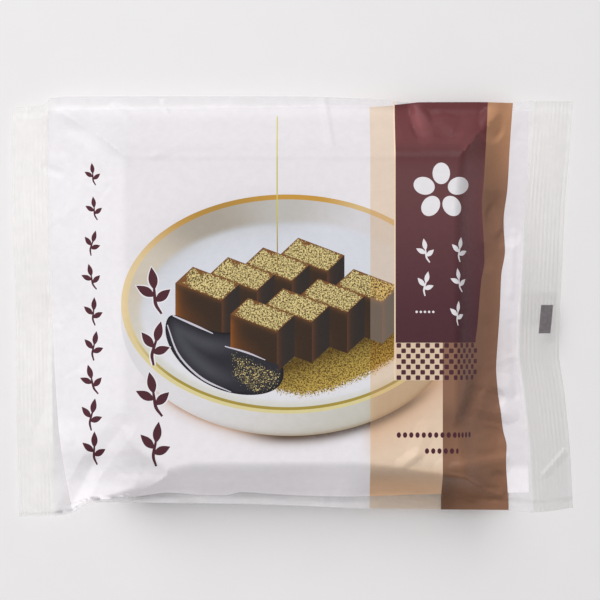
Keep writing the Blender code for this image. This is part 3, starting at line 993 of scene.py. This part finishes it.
def slice_shapes(tops):
    """Faces of a row of slices, from the furthest to the nearest."""
    down = np.array((0, -SLICE_HEIGHT))
    shapes = []
    for a, b, c, d in tops[::-1]:
        shapes.append((np.array([a, b, b + down, a + down]), side_ink(a), "plain"))
        shapes.append((np.array([b, c, c + down, b + down]), end_ink(b), "plain"))
        shapes.append((np.array([a, b, c, d]), even(JELLY_TOP), "powdered"))
    return shapes


def picture_shapes():
    """The printed plate, slices and syrup from back to front: outline, ink, and which powder lies there."""
    plates = ((PLATE_WALL, wall_ink), (PLATE_RIM, rim_ink), (PLATE_LINE, line_ink), (PLATE_INNER, inner_ink))
    shapes = [(ellipse(*plate), ink, "heaped") for plate, ink in plates]
    shapes += slice_shapes(BACK_TOPS)
    shapes.append((SYRUP_POOL, syrup_ink, "powdered"))
    rim, foot, front = syrup_lights()
    shapes += [(light, even(SYRUP_LIGHT), "plain") for light in (rim, foot)]
    shapes += slice_shapes(FRONT_TOPS)
    shapes += [(SYRUP_LIP, syrup_ink, "powdered"), (front, even(SYRUP_LIGHT), "plain")]
    thread = stroke([(-5.0, 64.8), (-5.0, 40.0), (-4.9, 13.5)], [0.38, 0.46, 0.34])
    shapes.append((thread, thread_ink, "plain"))
    return shapes


def syrup_lights():
    """Bright reflections along the syrup's edge and at the foot of the slices."""
    rim = stroke([(-42.0, -6.0), (-38.6, -15.3), (-30.0, -24.2), (-20.5, -28.6)], [0.35, 0.6, 0.7, 0.25])
    foot = stroke([(-40.2, -2.8), (-33.0, -6.0), (-26.6, -8.9)], [0.5, 0.7, 0.3])
    front = stroke([(-22.6, -13.2), (-15.5, -15.2), (-9.0, -17.8)], [0.35, 0.6, 0.25])
    return [rim, foot, front]


def rounded_square(cx, cy, side, corner):
    """A small square with cut and slightly rounded corners."""
    half = side / 2
    cut, bulge = half - corner, half - 0.3 * corner
    quarter = [(-cut, -half), (cut, -half), (bulge, -bulge)]
    points = []
    for _ in range(4):
        points += [(cx + x, cy + y) for x, y in quarter]
        quarter = [(-y, x) for x, y in quarter]
    return points


def check_shapes():
    """The checkered strip across the band: cream behind it on the beige, and dark squares."""
    low = CHECK_TOP - CHECK_ROWS * CHECK_PITCH
    shapes = [(box(MAROON_LEFT, BROWN_LEFT, low, CHECK_TOP), even(CREAM * BEIGE_TINT ** 0.8))]
    for row in range(CHECK_ROWS):
        y = CHECK_TOP - (row + 0.5) * CHECK_PITCH
        flat = MAROON_LEFT + CHECK_STARTS[row % 2]
        while flat < FLAT_MAROON_RIGHT:
            shapes.append((laid_shape(rounded_square(flat, y, CHECK_SQUARE, CHECK_CORNER)), maroon_ink))
            flat += 2 * CHECK_COLUMN
    return shapes


def band_shapes():
    """The maroon and brown stripes, the light line beside the maroon, the checks and the blossom."""
    brown = np.concatenate([curve_points(BROWN_RIGHT, -PAST_EDGE, PAST_EDGE, upright=True),
                            [(BROWN_LEFT, PAST_EDGE), (BROWN_LEFT, -PAST_EDGE)]])
    maroon = np.concatenate([curve_points(MAROON_RIGHT, CHECK_TOP, PAST_EDGE, upright=True),
                             [(BROWN_LEFT, MAROON_TOP_EDGE[1]), (MAROON_LEFT, MAROON_TOP_EDGE[0]),
                              (MAROON_LEFT, CHECK_TOP)]])
    light = box(MAROON_LEFT - LIGHT_EDGE, MAROON_LEFT, CHECK_TOP - LIGHT_BELOW, PAST_EDGE)
    shapes = [(brown, brown_ink), (light, even(EDGE_LIGHT)), (maroon, maroon_ink)]
    shapes += check_shapes()
    shapes += [(petal, even(WHITE)) for petal in blossom(BLOSSOM_MIDDLE, BLOSSOM_RADIUS)]
    return shapes


def ornament_shapes():
    """Rows of sprigs down the print, and plain dotted lines on the band."""
    shapes = []
    for centre, size, angle in LARGE_SPRIGS:
        shapes += [(part, even(WHITE)) for part in sprig(centre, size, angle, SPRIG_MARGIN)]
        shapes += [(part, even(DARK_INK)) for part in sprig(centre, size, angle)]
    for k in range(SMALL_SPRIG_COUNT):
        centre = (-67.6 + 0.5 * np.sin(k * 1.7), 45.0 - k * 11.6)
        parts = sprig(centre, 7.4 + 0.45 * k, 16 * np.sin(k * 2.3 + 0.4))
        shapes += [(part, even(DARK_INK)) for part in parts]
    for centre, size, angle in BAND_SPRIGS:
        shapes += [(laid_shape(part), even(WHITE)) for part in sprig(centre, size, angle)]
    for k in range(WHITE_DOT_COUNT):
        shapes.append((ellipse(42.0 + k * 1.4, -1.6, 0.42, 0.42, 12), even(WHITE)))
    for low, high, y in DOT_ROWS:
        for place in np.arange(low, high, DOT_PITCH):
            shapes.append((laid_shape(ellipse(place, y, 0.72, 0.95, 16)), even(DARK_INK)))
    return shapes


# Meshes

def dense(points, step):
    """A closed outline with points added so that none are further apart than a step."""
    points = np.asarray(points, float)
    filled = []
    for a, b in zip(points, np.roll(points, -1, axis=0)):
        count = max(1, int(np.ceil(np.hypot(*(b - a)) / step)))
        filled.append(a + (b - a) * np.arange(count)[:, None] / count)
    return np.concatenate(filled)


def anticlockwise(points):
    """The same outline, running anticlockwise."""
    following = np.roll(points, -1, axis=0)
    area = np.sum(points[:, 0] * following[:, 1] - following[:, 0] * points[:, 1])
    return points if area > 0 else points[::-1]


def triangulate(outline, shapes, step):
    """Triangles of a plan area cut along printed shapes: points, triangles and the shapes over each."""
    polygons = [anticlockwise(outline)] + [anticlockwise(dense(points, EDGE_STEP)) for points in shapes]
    everything = np.concatenate(polygons)
    low, high = outline.min(axis=0) - step, outline.max(axis=0) + step
    cell = EDGE_STEP * 0.9
    taken = np.zeros(np.ceil((high - low) / cell).astype(int) + 6, bool)
    spots = ((np.clip(everything, low, high) - low) / cell).astype(int) + 2
    for dx in (-1, 0, 1):
        for dy in (-1, 0, 1):
            taken[spots[:, 0] + dx, spots[:, 1] + dy] = True
    rows = np.arange(low[1], high[1], step * np.sqrt(3) / 2)
    columns = np.arange(low[0], high[0], step)
    x, y = np.meshgrid(columns, rows)
    x = x + (np.arange(len(rows)) % 2)[:, None] * step / 2
    x, y = x.ravel(), y.ravel()
    inside = (x < high[0]) & (y < high[1])
    x, y = x[inside], y[inside]
    free = ~taken[((x - low[0]) / cell).astype(int) + 2, ((y - low[1]) / cell).astype(int) + 2]
    points = np.concatenate([everything, np.stack([x[free], y[free]], axis=1)])
    starts = np.cumsum([0] + [len(p) for p in polygons])
    faces = [list(range(a, b)) for a, b in zip(starts[:-1], starts[1:])]
    made = delaunay_2d_cdt([Vector(p) for p in points], [], faces, 1, 1e-5, True)
    triangles = np.array([face for face, owners in zip(made[2], made[5]) if 0 in owners])
    owners_of = [set(owners) for owners in made[5] if 0 in owners]
    return np.array([tuple(v) for v in made[0]]), triangles, owners_of


def place_object(name, data):
    """A new object that shows some data, linked to the scene."""
    made = bpy.data.objects.new(name, data)
    bpy.context.scene.collection.objects.link(made)
    return made


def new_piece(name, points, triangles, normals, material):
    """Makes an object from points in millimetres and its triangles, and lets it ride on the pack."""
    used, index = np.unique(triangles, return_inverse=True)
    mesh = bpy.data.meshes.new(name)
    mesh.from_pydata((points[used] * MM).tolist(), [], index.reshape(triangles.shape).tolist())
    mesh.materials.append(material)
    mesh.shade_smooth()
    mesh.normals_split_custom_set_from_vertices(normals[used].tolist())
    piece = place_object(name, mesh)
    add_bake_map(mesh)
    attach(piece, "root")
    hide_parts("pack")
    return piece


def pass_light(piece):
    """Thin film with nothing behind it scatters the light onwards, so it is given no shadow of its own."""
    piece.visible_shadow = False


def add_bake_map(mesh):
    """Plan coordinates as the map that the finish is kept on."""
    corners = np.empty(len(mesh.loops), int)
    mesh.loops.foreach_get("vertex_index", corners)
    places = np.array([v.co[:2] for v in mesh.vertices])[corners] / MM
    layer = mesh.uv_layers.new(name="OFBake")
    layer.data.foreach_set("uv", (places / 200 + 0.5).ravel())


def paint(piece, name, kind, values):
    """Stores one value for each corner of a piece."""
    layer = piece.data.attributes.new(name, kind, "CORNER")
    field = "value"
    if kind == "FLOAT_COLOR":
        field = "color"
        values = np.concatenate([values, np.ones((len(values), 1))], axis=1)
    layer.data.foreach_set(field, np.asarray(values, np.float32).ravel())


def seal_plan(side):
    """Plan grid of an end seal, from its inner line to its outer edge."""
    count = (LEFT_RIBS, RIGHT_RIBS)[side]
    edge = (LEFT_EDGE, RIGHT_EDGE)[side]
    bottom, top = (meeting(across, lambda y: inner_edges(y)[side], SEAL_INSIDE[side])
                   for across in (BOTTOM_EDGE, TOP_EDGE))
    rows = int((top[1] - bottom[1]) / SEAL_ROW_STEP)
    share = np.linspace(0, 1, rows + 1)[:, None]
    depth = (1 - np.linspace(0, 1, count * RIB_SAMPLES + 1))[None, :] * count * RIB_PITCH
    y = bottom[1] + (top[1] - bottom[1]) * share + np.zeros_like(depth)
    for _ in range(PLAN_PASSES):
        x = smooth_curve(edge, y) + (depth if side == 0 else -depth)
        low, high = smooth_curve(BOTTOM_EDGE, x), smooth_curve(TOP_EDGE, x)
        y = low + (high - low) * share
    return x, y


def body_outline(left_line, right_line):
    """Closed outline of the film between the two seals, which shares their inner lines."""
    bottom = curve_points(BOTTOM_EDGE, left_line[0][0], right_line[0][0])
    top = curve_points(TOP_EDGE, right_line[-1][0], left_line[-1][0])
    return np.concatenate([bottom[:-1], right_line[:-1], top[:-1], left_line[:0:-1]])


def grid_triangles(rows, columns, flip):
    """Triangles of a grid of points numbered row by row."""
    index = np.arange(rows * columns).reshape(rows, columns)
    a, b, c, d = index[:-1, :-1], index[:-1, 1:], index[1:, 1:], index[1:, :-1]
    halves = [np.stack([a, b, c], axis=-1), np.stack([a, c, d], axis=-1)]
    triangles = np.stack(halves, axis=2).reshape(-1, 3)
    return triangles[:, ::-1] if flip else triangles


def grid_rim(rows, columns):
    """Numbers of the points round a grid's border, in order."""
    index = np.arange(rows * columns).reshape(rows, columns)
    return np.concatenate([index[0, :-1], index[:-1, -1], index[-1, :0:-1], index[:0:-1, 0]])


def film_solid(x, y, upper, lower):
    """Points, triangles and smooth normals of a thin closed piece between two heights."""
    rows, columns = x.shape
    flat_x, flat_y = x.ravel(), y.ravel()
    front = np.stack([flat_x, flat_y, upper(flat_x, flat_y) + LIFT], axis=1)
    back = np.stack([flat_x, flat_y, lower(flat_x, flat_y) + LIFT], axis=1)
    flipped = (x[0, -1] - x[0, 0]) * (y[-1, 0] - y[0, 0]) < 0
    ring = grid_rim(rows, columns)
    following = np.roll(ring, -1)
    count = rows * columns
    if flipped:
        ring, following = following, ring
    side = np.concatenate([np.stack([ring + count, following + count, following], axis=1),
                           np.stack([ring + count, following, ring], axis=1)])
    triangles = np.concatenate([grid_triangles(rows, columns, flipped),
                                grid_triangles(rows, columns, not flipped) + count, side])
    normals = np.concatenate([surface_normals(upper, flat_x, flat_y, True),
                              surface_normals(lower, flat_x, flat_y, False)])
    return np.concatenate([front, back]), triangles, normals


def build_seal(side, material):
    """One ribbed end seal: two layers of film pressed together."""
    x, y = seal_plan(side)
    points, triangles, normals = film_solid(x, y, front_height, lambda a, b: front_height(a, b) - SEAL_FILM)
    name = ("left_seal", "right_seal")[side]
    pass_light(new_piece(name, points, triangles, normals, material))
    inner = np.stack([x[:, 0], y[:, 0]], axis=1)
    return inner


def beige_field():
    """Outline of the beige ink, which stops short of the upper edge."""
    return [(BEIGE_LEFT, -PAST_EDGE), (BROWN_LEFT, -PAST_EDGE), (BROWN_LEFT, BAND_TOP[1]),
            (MAROON_LEFT, BAND_TOP[1]), (BEIGE_LEFT, BAND_TOP[0])]


def cut_film(outline, printed, step):
    """Plan, triangles, each one's uppermost print, and whether the beige and the first print are there."""
    shapes = [beige_field()] + [shape for shape, _ in printed]
    plan, triangles, owners = triangulate(outline, shapes, step)
    tops = np.array([max([o for o in own if o > 1], default=0) for own in owners])
    beige, first = (np.array([number in own for own in owners]) for number in (1, 2))
    return plan, triangles, tops, beige, first


def ink_colours(plan, triangles, tops, printed):
    """Ink at the corners of each triangle, from its uppermost print."""
    colours = np.zeros((len(triangles), 3, 3))
    for number, (_, ink) in enumerate(printed, start=2):
        mine = tops == number
        if mine.any():
            corners = plan[triangles[mine]]
            colours[mine] = ink(corners[..., 0], corners[..., 1])
    return colours


def printed_piece(name, points, triangles, normals, material, colours, marks):
    """A piece of printed film, with its ink and its marks kept on the mesh."""
    shown = new_piece(name, points, triangles, normals, material)
    paint(shown, "ink", "FLOAT_COLOR", colours.reshape(-1, 3))
    for mark, values in marks.items():
        paint(shown, mark, "FLOAT", values.ravel())
    return shown


def build_front(outline, materials):
    """The film that faces up, cut into printed, tinted and clear pieces along the print's edges."""
    picture = picture_shapes()
    printed = [(white_field(), white_ink)] + [(shape, ink) for shape, ink, _ in picture]
    first_band = len(printed) + 2
    dusty, heaped = ([number for number, (_, _, kind) in enumerate(picture, start=3) if kind == wanted]
                     for wanted in ("powdered", "heaped"))
    printed += band_shapes() + ornament_shapes()
    plan, triangles, tops, beige, white = cut_film(outline, printed, BODY_STEP)
    band = tops >= first_band
    opaque = white | band
    x, y = plan[:, 0], plan[:, 1]
    points = np.column_stack([plan, front_height(x, y) + LIFT])
    normals = surface_normals(front_height, x, y, True)
    colours = ink_colours(plan, triangles, tops, printed)
    under = beige & opaque & ~band
    corners = plan[triangles[under]]
    colours[under] += (WHITE - colours[under]) * BEIGE_COVER
    colours[under] *= beige_tint(corners[..., 0], corners[..., 1])
    marks = {"powder": powder_amount(x, y)[triangles] * np.isin(tops, dusty)[:, None],
             "heap": heap_amount(x, y)[triangles] * np.isin(tops, heaped)[:, None],
             "shade": heap_shade(x, y)[triangles],
             "tint": np.repeat(beige[:, None], 3, axis=1)}
    loose = np.max(drops(*plan[triangles].mean(axis=1).T, 0.0), axis=0) > LOOSE_FROM
    for name, part in (("printed_front", opaque & ~loose), ("printed_rim", opaque & loose)):
        shown = printed_piece(name, points, triangles[part], normals, materials["printed"], colours[part],
                              {mark: values[part] for mark, values in marks.items()})
    pass_light(shown)
    for look, part in (("clear", ~opaque & ~beige), ("tinted", ~opaque & beige)):
        film = new_piece(f"{look}_front", points, triangles[part], normals, materials[look])
        pass_light(film)


def build_back(outline, materials):
    """The film underneath, white with the same stripes, with clear film only where the white stops short of
    the end seals.
    """
    white = box(*BACK_WHITE, -PAST_EDGE, PAST_EDGE)
    brown = box(BROWN_LEFT, FLAT_BROWN_RIGHT - 1, -PAST_EDGE, PAST_EDGE)
    maroon = [(MAROON_LEFT, BACK_MAROON_LOW), (FLAT_MAROON_RIGHT, BACK_MAROON_LOW),
              (FLAT_MAROON_RIGHT, PAST_EDGE), (BROWN_LEFT, BAND_TOP[1]), (MAROON_LEFT, BAND_TOP[0])]
    printed = [(white, even(WHITE)), (brown, brown_ink), (maroon, maroon_ink)]
    plan, triangles, tops, beige, _ = cut_film(outline, printed, BACK_STEP)
    triangles = triangles[:, ::-1]
    opaque = tops > 0
    x, y = plan[:, 0], plan[:, 1]
    points = np.column_stack([plan, back_height(x, y) + LIFT])
    normals = surface_normals(back_height, x, y, False)
    colours = ink_colours(plan, triangles, tops, printed)
    colours[beige & (tops == 2)] *= BEIGE_TINT
    unmarked = np.zeros((int(opaque.sum()), 3))
    marks = {mark: unmarked for mark in ("powder", "heap", "shade", "tint")}
    pass_light(printed_piece("printed_back", points, triangles[opaque], normals, materials["printed"],
                             colours[opaque], marks))
    pass_light(new_piece("clear_back", points, triangles[~opaque], normals, materials["clear"]))


def build_fold(edge, left_x, right_x, name, material):
    """The turned edge of the film along one long side: a narrow clear bead outside the print."""
    bottom = edge is BOTTOM_EDGE
    outward = -1 if bottom else 1
    x = np.linspace(left_x, right_x, int((right_x - left_x) / FOLD_STEP))
    y = smooth_curve(edge, x)
    front, back = front_height(x, y), back_height(x, y)
    rows, normals = [], []
    for turn in np.linspace(0, 1, FOLD_ROWS):
        bulge = FOLD_BULGE * np.sin(np.pi * turn) * outward
        rows.append(np.stack([x, y + bulge, front + (back - front) * turn + LIFT], axis=1))
        out = np.full_like(x, outward * np.sin(np.pi * turn))
        normals.append(np.stack([np.zeros_like(x), out, np.full_like(x, np.cos(np.pi * turn))], axis=1))
    triangles = grid_triangles(len(rows), len(x), bottom)
    points, normals = np.concatenate(rows), np.concatenate(normals)
    pass_light(new_piece(name, points, triangles, normals, material))


def build_fin(material):
    """The fin seal along the back: two crimped layers folded flat against the pack."""
    start, end = smooth_curve(LEFT_EDGE, 0.0) + FIN_INSET, smooth_curve(RIGHT_EDGE, 0.0) - FIN_INSET
    x, y = np.meshgrid(np.linspace(start, end, int((end - start) / FIN_PITCH * RIB_SAMPLES)),
                       np.linspace(FIN_LOW, FIN_HIGH, FIN_ROWS))

    def crimp(a, b):
        """Depth of the crimped pattern, which leaves both long edges of the seal smooth."""
        inside = ramp(b, FIN_LOW, FIN_LOW + 1.2) * ramp(b, FIN_HIGH - 1, FIN_HIGH - 2.2)
        return FIN_CRIMP * inside * (0.5 - 0.5 * np.cos(2 * np.pi * a / FIN_PITCH))

    def upper(a, b):
        """Height of the side that lies against the pack."""
        return back_height(a, b) - FIN_GAP - crimp(a, b)

    def lower(a, b):
        """Height of the side that faces the surface, just clear of it."""
        return np.maximum(upper(a, b) - FIN_FILM, GROUND_GAP - LIFT)

    points, triangles, normals = film_solid(x, y, upper, lower)
    pass_light(new_piece("fin_seal", points, triangles, normals, material))


def build_mark(material):
    """The grey register mark printed on the right end seal."""
    low_left, low_right, high_right, high_left = MARK_CORNERS
    rows, columns = MARK_GRID
    share = np.linspace(0, 1, rows)[:, None]
    y = low_left[1] + (high_left[1] - low_left[1]) * share + np.zeros((1, columns))
    left = low_left[0] + (high_left[0] - low_left[0]) * share
    right = low_right[0] + (high_right[0] - low_right[0]) * share
    x = left + (right - left) * np.linspace(0, 1, columns)[None, :]
    points, triangles, normals = film_solid(x, y, lambda a, b: front_height(a, b) + MARK_TOP,
                                            lambda a, b: front_height(a, b) + MARK_BOTTOM)
    new_piece("register_mark", points, triangles, normals, material)


# Materials: noise scales are in features for each metre, and bumps in metres

NOISE_RANGE = (0.3, 0.7)
PRINT_GLOSS = 0.20
PRINT_BUMP = 0.00004
FILM_GLOSS = 0.35
FILM_BUMP = 0.00005
FILM_SCALE = 700
FLOOR_GLOSS = 0.2
FLOOR_ROUGHNESS = 0.85
PILE_SCALE = 2900
POWDER_SCALE = 2600

# See-through films: colour, share of the light they stop, roughness
CLEAR_LOOK = (srgb(228, 227, 227), 0.42, 0.42)
TINTED_LOOK = (srgb(206, 197, 186), 0.55, 0.42)
SEAL_LOOK = (srgb(230, 228, 227), 0.42, 0.46)

# Painted shade on the seal film, darker towards the lower right: by a factor, and where along X and Y, in
# metres
SEAL_SHADE = 0.86
SEAL_SHADE_X = (0.0, 0.05)
SEAL_SHADE_Y = (0.040, 0.010)


def new_material(name):
    """A material, and its tree of nodes, which holds only a shader and the output."""
    material = bpy.data.materials.new(name)
    material.use_nodes = True
    return material, material.node_tree


def set_socket(tree, socket, value):
    """Gives a socket a number or a colour, or links it to another node's output."""
    if isinstance(value, bpy.types.NodeSocket):
        tree.links.new(value, socket)
    elif np.ndim(value):
        socket.default_value = (*value, 1)
    else:
        socket.default_value = value


def set_shader(tree, **values):
    """Sets inputs of the shader, which are named here with low lines in place of spaces."""
    for name, value in values.items():
        set_socket(tree, tree.nodes["Principled BSDF"].inputs[name.replace("_", " ")], value)


def attribute(tree, name, output="Fac"):
    """A value that is kept on the mesh."""
    node = tree.nodes.new("ShaderNodeAttribute")
    node.attribute_name = name
    return node.outputs[output]


def noise(tree, scale, detail, roughness=0.5):
    """Noise over the object's own coordinates."""
    place = tree.nodes.new("ShaderNodeTexCoord")
    node = tree.nodes.new("ShaderNodeTexNoise")
    for name, value in (("Vector", place.outputs["Object"]), ("Scale", scale), ("Detail", detail),
                        ("Roughness", roughness)):
        set_socket(tree, node.inputs[name], value)
    return node.outputs["Fac"]


def spread(tree, value, low, high, to_low=0.0, to_high=1.0):
    """Maps a value from one range to another, held at the ends."""
    node = tree.nodes.new("ShaderNodeMapRange")
    for name, number in (("Value", value), ("From Min", low), ("From Max", high), ("To Min", to_low),
                         ("To Max", to_high)):
        set_socket(tree, node.inputs[name], number)
    return node.outputs["Result"]


def uneven(tree, scale, detail, low=0.0, high=1.0):
    """Noise spread out between two values."""
    return spread(tree, noise(tree, scale, detail), *NOISE_RANGE, low, high)


def arithmetic(tree, operation, first, second):
    """A math node on two values."""
    node = tree.nodes.new("ShaderNodeMath")
    node.operation = operation
    for socket, value in zip(node.inputs, (first, second)):
        set_socket(tree, socket, value)
    return node.outputs["Value"]


def colour_mix(tree, share, first, second, blend="MIX"):
    """Mixes two colours by a share."""
    node = tree.nodes.new("ShaderNodeMix")
    node.data_type = "RGBA"
    node.blend_type = blend
    sockets = {socket.identifier: socket for socket in node.inputs}
    for name, value in (("Factor_Float", share), ("A_Color", first), ("B_Color", second)):
        set_socket(tree, sockets[name], value)
    return next(socket for socket in node.outputs if socket.identifier == "Result_Color")


def add_bump(tree, height, distance):
    """Fine relief of the finish, on the shader's normal."""
    bump = tree.nodes.new("ShaderNodeBump")
    set_socket(tree, bump.inputs["Strength"], 1.0)
    set_socket(tree, bump.inputs["Distance"], distance)
    set_socket(tree, bump.inputs["Height"], height)
    set_shader(tree, Normal=bump.outputs["Normal"])


def powdered(tree, ground, amount, light, dark, scale):
    """Grains of powder over a ground colour, more of them where the amount is larger."""
    grains = spread(tree, noise(tree, scale, 1.5), *NOISE_RANGE)
    above = arithmetic(tree, "SUBTRACT", arithmetic(tree, "MULTIPLY", amount, 1.45), grains)
    fleck = spread(tree, noise(tree, scale * 0.72, 3.0, 0.7), 0.43, 0.56)
    grain = colour_mix(tree, fleck, dark, light)
    return colour_mix(tree, spread(tree, above, 0.02, 0.12), ground, grain)


def printed_material():
    """Matt printed film: ink colours from the mesh, powder grains, and a fine uneven gloss."""
    material, tree = new_material("printed_film")
    powder, heap, shade = (attribute(tree, name) for name in ("powder", "heap", "shade"))
    light = colour_mix(tree, shade, PILE_DARK * 0.6, PILE_LIGHT)
    dark = colour_mix(tree, shade, PILE_DARK * 0.4, PILE_DARK)
    colour = powdered(tree, attribute(tree, "ink", "Color"), heap, light, dark, PILE_SCALE)
    colour = powdered(tree, colour, powder, POWDER_LIGHT, POWDER_DARK, POWDER_SCALE)
    strewn = spread(tree, arithmetic(tree, "MAXIMUM", powder, heap), 0.05, 0.5)
    tinted = colour_mix(tree, 1.0, colour, BEIGE_TINT, "MULTIPLY")
    colour = colour_mix(tree, arithmetic(tree, "MULTIPLY", attribute(tree, "tint"), strewn), colour, tinted)
    grey = tree.nodes.new("ShaderNodeCombineColor")
    mottle = uneven(tree, 420, 4, 0.975, 1.015)
    for channel in ("Red", "Green", "Blue"):
        set_socket(tree, grey.inputs[channel], mottle)
    colour = colour_mix(tree, 1.0, colour, grey.outputs["Color"], "MULTIPLY")
    gloss = uneven(tree, 900, 3, 0.36, 0.48)
    set_shader(tree, Base_Color=colour, Roughness=gloss, Specular_IOR_Level=PRINT_GLOSS)
    add_bump(tree, noise(tree, 1300, 5, 0.6), PRINT_BUMP)
    return material


def film_material(name, colour, alpha, roughness, painted_shade=False):
    """See-through film with a fine uneven gloss; one with painted shade is darker towards the lower right."""
    material, tree = new_material(name)
    tone = colour_mix(tree, uneven(tree, 300, 4), colour * 0.96, np.minimum(colour * 1.03, 1))
    if painted_shade:
        # Painted shade, darker towards the lower right.
        place = tree.nodes.new("ShaderNodeTexCoord")
        split = tree.nodes.new("ShaderNodeSeparateXYZ")
        set_socket(tree, split.inputs["Vector"], place.outputs["Object"])
        shade_share = arithmetic(tree, "MULTIPLY", spread(tree, split.outputs["X"], *SEAL_SHADE_X),
                          spread(tree, split.outputs["Y"], *SEAL_SHADE_Y))
        tone = colour_mix(tree, shade_share, tone, colour * SEAL_SHADE)
    gloss = uneven(tree, FILM_SCALE, 3, roughness - 0.06, roughness + 0.08)
    set_shader(tree, Base_Color=tone, Roughness=gloss, Alpha=alpha, Specular_IOR_Level=FILM_GLOSS)
    add_bump(tree, noise(tree, FILM_SCALE * 1.6, 4, 0.6), FILM_BUMP)
    return material


def mark_material():
    """Grey printed mark, faintly mottled."""
    material, tree = new_material("dark_ink")
    tone = colour_mix(tree, uneven(tree, 800, 4), MARK_GREY * 0.9, MARK_GREY * 1.15)
    set_shader(tree, Base_Color=tone, Roughness=uneven(tree, 900, 3, 0.35, 0.5))
    return material


def floor_material():
    """Plain pale surface under the pack."""
    material, tree = new_material("pale_floor")
    tone = colour_mix(tree, uneven(tree, 60, 3), (0.85, 0.84, 0.84), (0.86, 0.85, 0.85))
    set_shader(tree, Base_Color=tone, Roughness=FLOOR_ROUGHNESS, Specular_IOR_Level=FLOOR_GLOSS)
    return material


# Studio

FLOOR_SIZE = 4.0
CAMERA_HEIGHT = 1.3
SENSOR = 36.0
VIEW_WIDTH = 0.2034
VIEW_MIDDLE = (0.0027, 0.0024)
PACK_MIDDLE = 0.012
SKY = (0.985, 0.975, 0.985)
SKY_STRENGTH = 0.42
KEY_PLACE = (-0.9, 2.12, 2.05)
KEY_SIZE = 2.5
KEY_POWER = 69.0
LOW_PLACE = (-0.58, 0.05, 0.75)
LOW_SIZE = 0.6
LOW_POWER = 1.6


def add_lamp(name, place, size, power):
    """A large soft light that faces the pack."""
    lamp = bpy.data.lights.new(name, "AREA")
    lamp.shape = "SQUARE"
    lamp.size = size
    lamp.energy = power
    holder = place_object(name, lamp)
    holder.location = place
    holder.rotation_mode = "QUATERNION"
    holder.rotation_quaternion = (-Vector(place)).to_track_quat("-Z", "Y")


def build_studio():
    """Pale floor, even light from all round, and two soft lights beyond the pack's upper left corner."""
    mesh = bpy.data.meshes.new("floor")
    half = FLOOR_SIZE / 2
    mesh.from_pydata([(*corner, 0) for corner in box(-half, half, -half, half)], [], [(0, 1, 2, 3)])
    mesh.materials.append(floor_material())
    floor = place_object("floor", mesh)
    world = bpy.data.worlds.new("studio")
    bpy.context.scene.world = world
    world.use_nodes = True
    background = world.node_tree.nodes["Background"]
    background.inputs["Color"].default_value = (*SKY, 1)
    background.inputs["Strength"].default_value = SKY_STRENGTH
    add_lamp("key", KEY_PLACE, KEY_SIZE, KEY_POWER)
    add_lamp("low_side", LOW_PLACE, LOW_SIZE, LOW_POWER)


def build_camera():
    """A long lens straight above the pack."""
    lens = bpy.data.cameras.new("camera")
    lens.sensor_width = SENSOR
    lens.lens = SENSOR * (CAMERA_HEIGHT - PACK_MIDDLE) / VIEW_WIDTH
    camera = place_object("camera", lens)
    camera.location = (*VIEW_MIDDLE, CAMERA_HEIGHT)
    bpy.context.scene.camera = camera


def build_pack():
    """All the pieces of the pack, from the end seals inwards."""
    materials = {
        "printed": printed_material(),
        "clear": film_material("clear_film", *CLEAR_LOOK),
        "tinted": film_material("tinted_film", *TINTED_LOOK),
        "seal": film_material("seal_film", *SEAL_LOOK, painted_shade=True),
    }
    left_line = build_seal(0, materials["seal"])
    right_line = build_seal(1, materials["seal"])
    outline = body_outline(left_line, right_line)
    build_front(outline, materials)
    build_back(outline, materials)
    build_fold(BOTTOM_EDGE, left_line[0][0], right_line[0][0], "lower_fold", materials["clear"])
    build_fold(TOP_EDGE, left_line[-1][0], right_line[-1][0], "upper_fold", materials["clear"])
    build_fin(materials["seal"])
    build_mark(mark_material())


bpy.context.scene.view_settings.view_transform = "Standard"
build_studio()
build_camera()
build_pack()
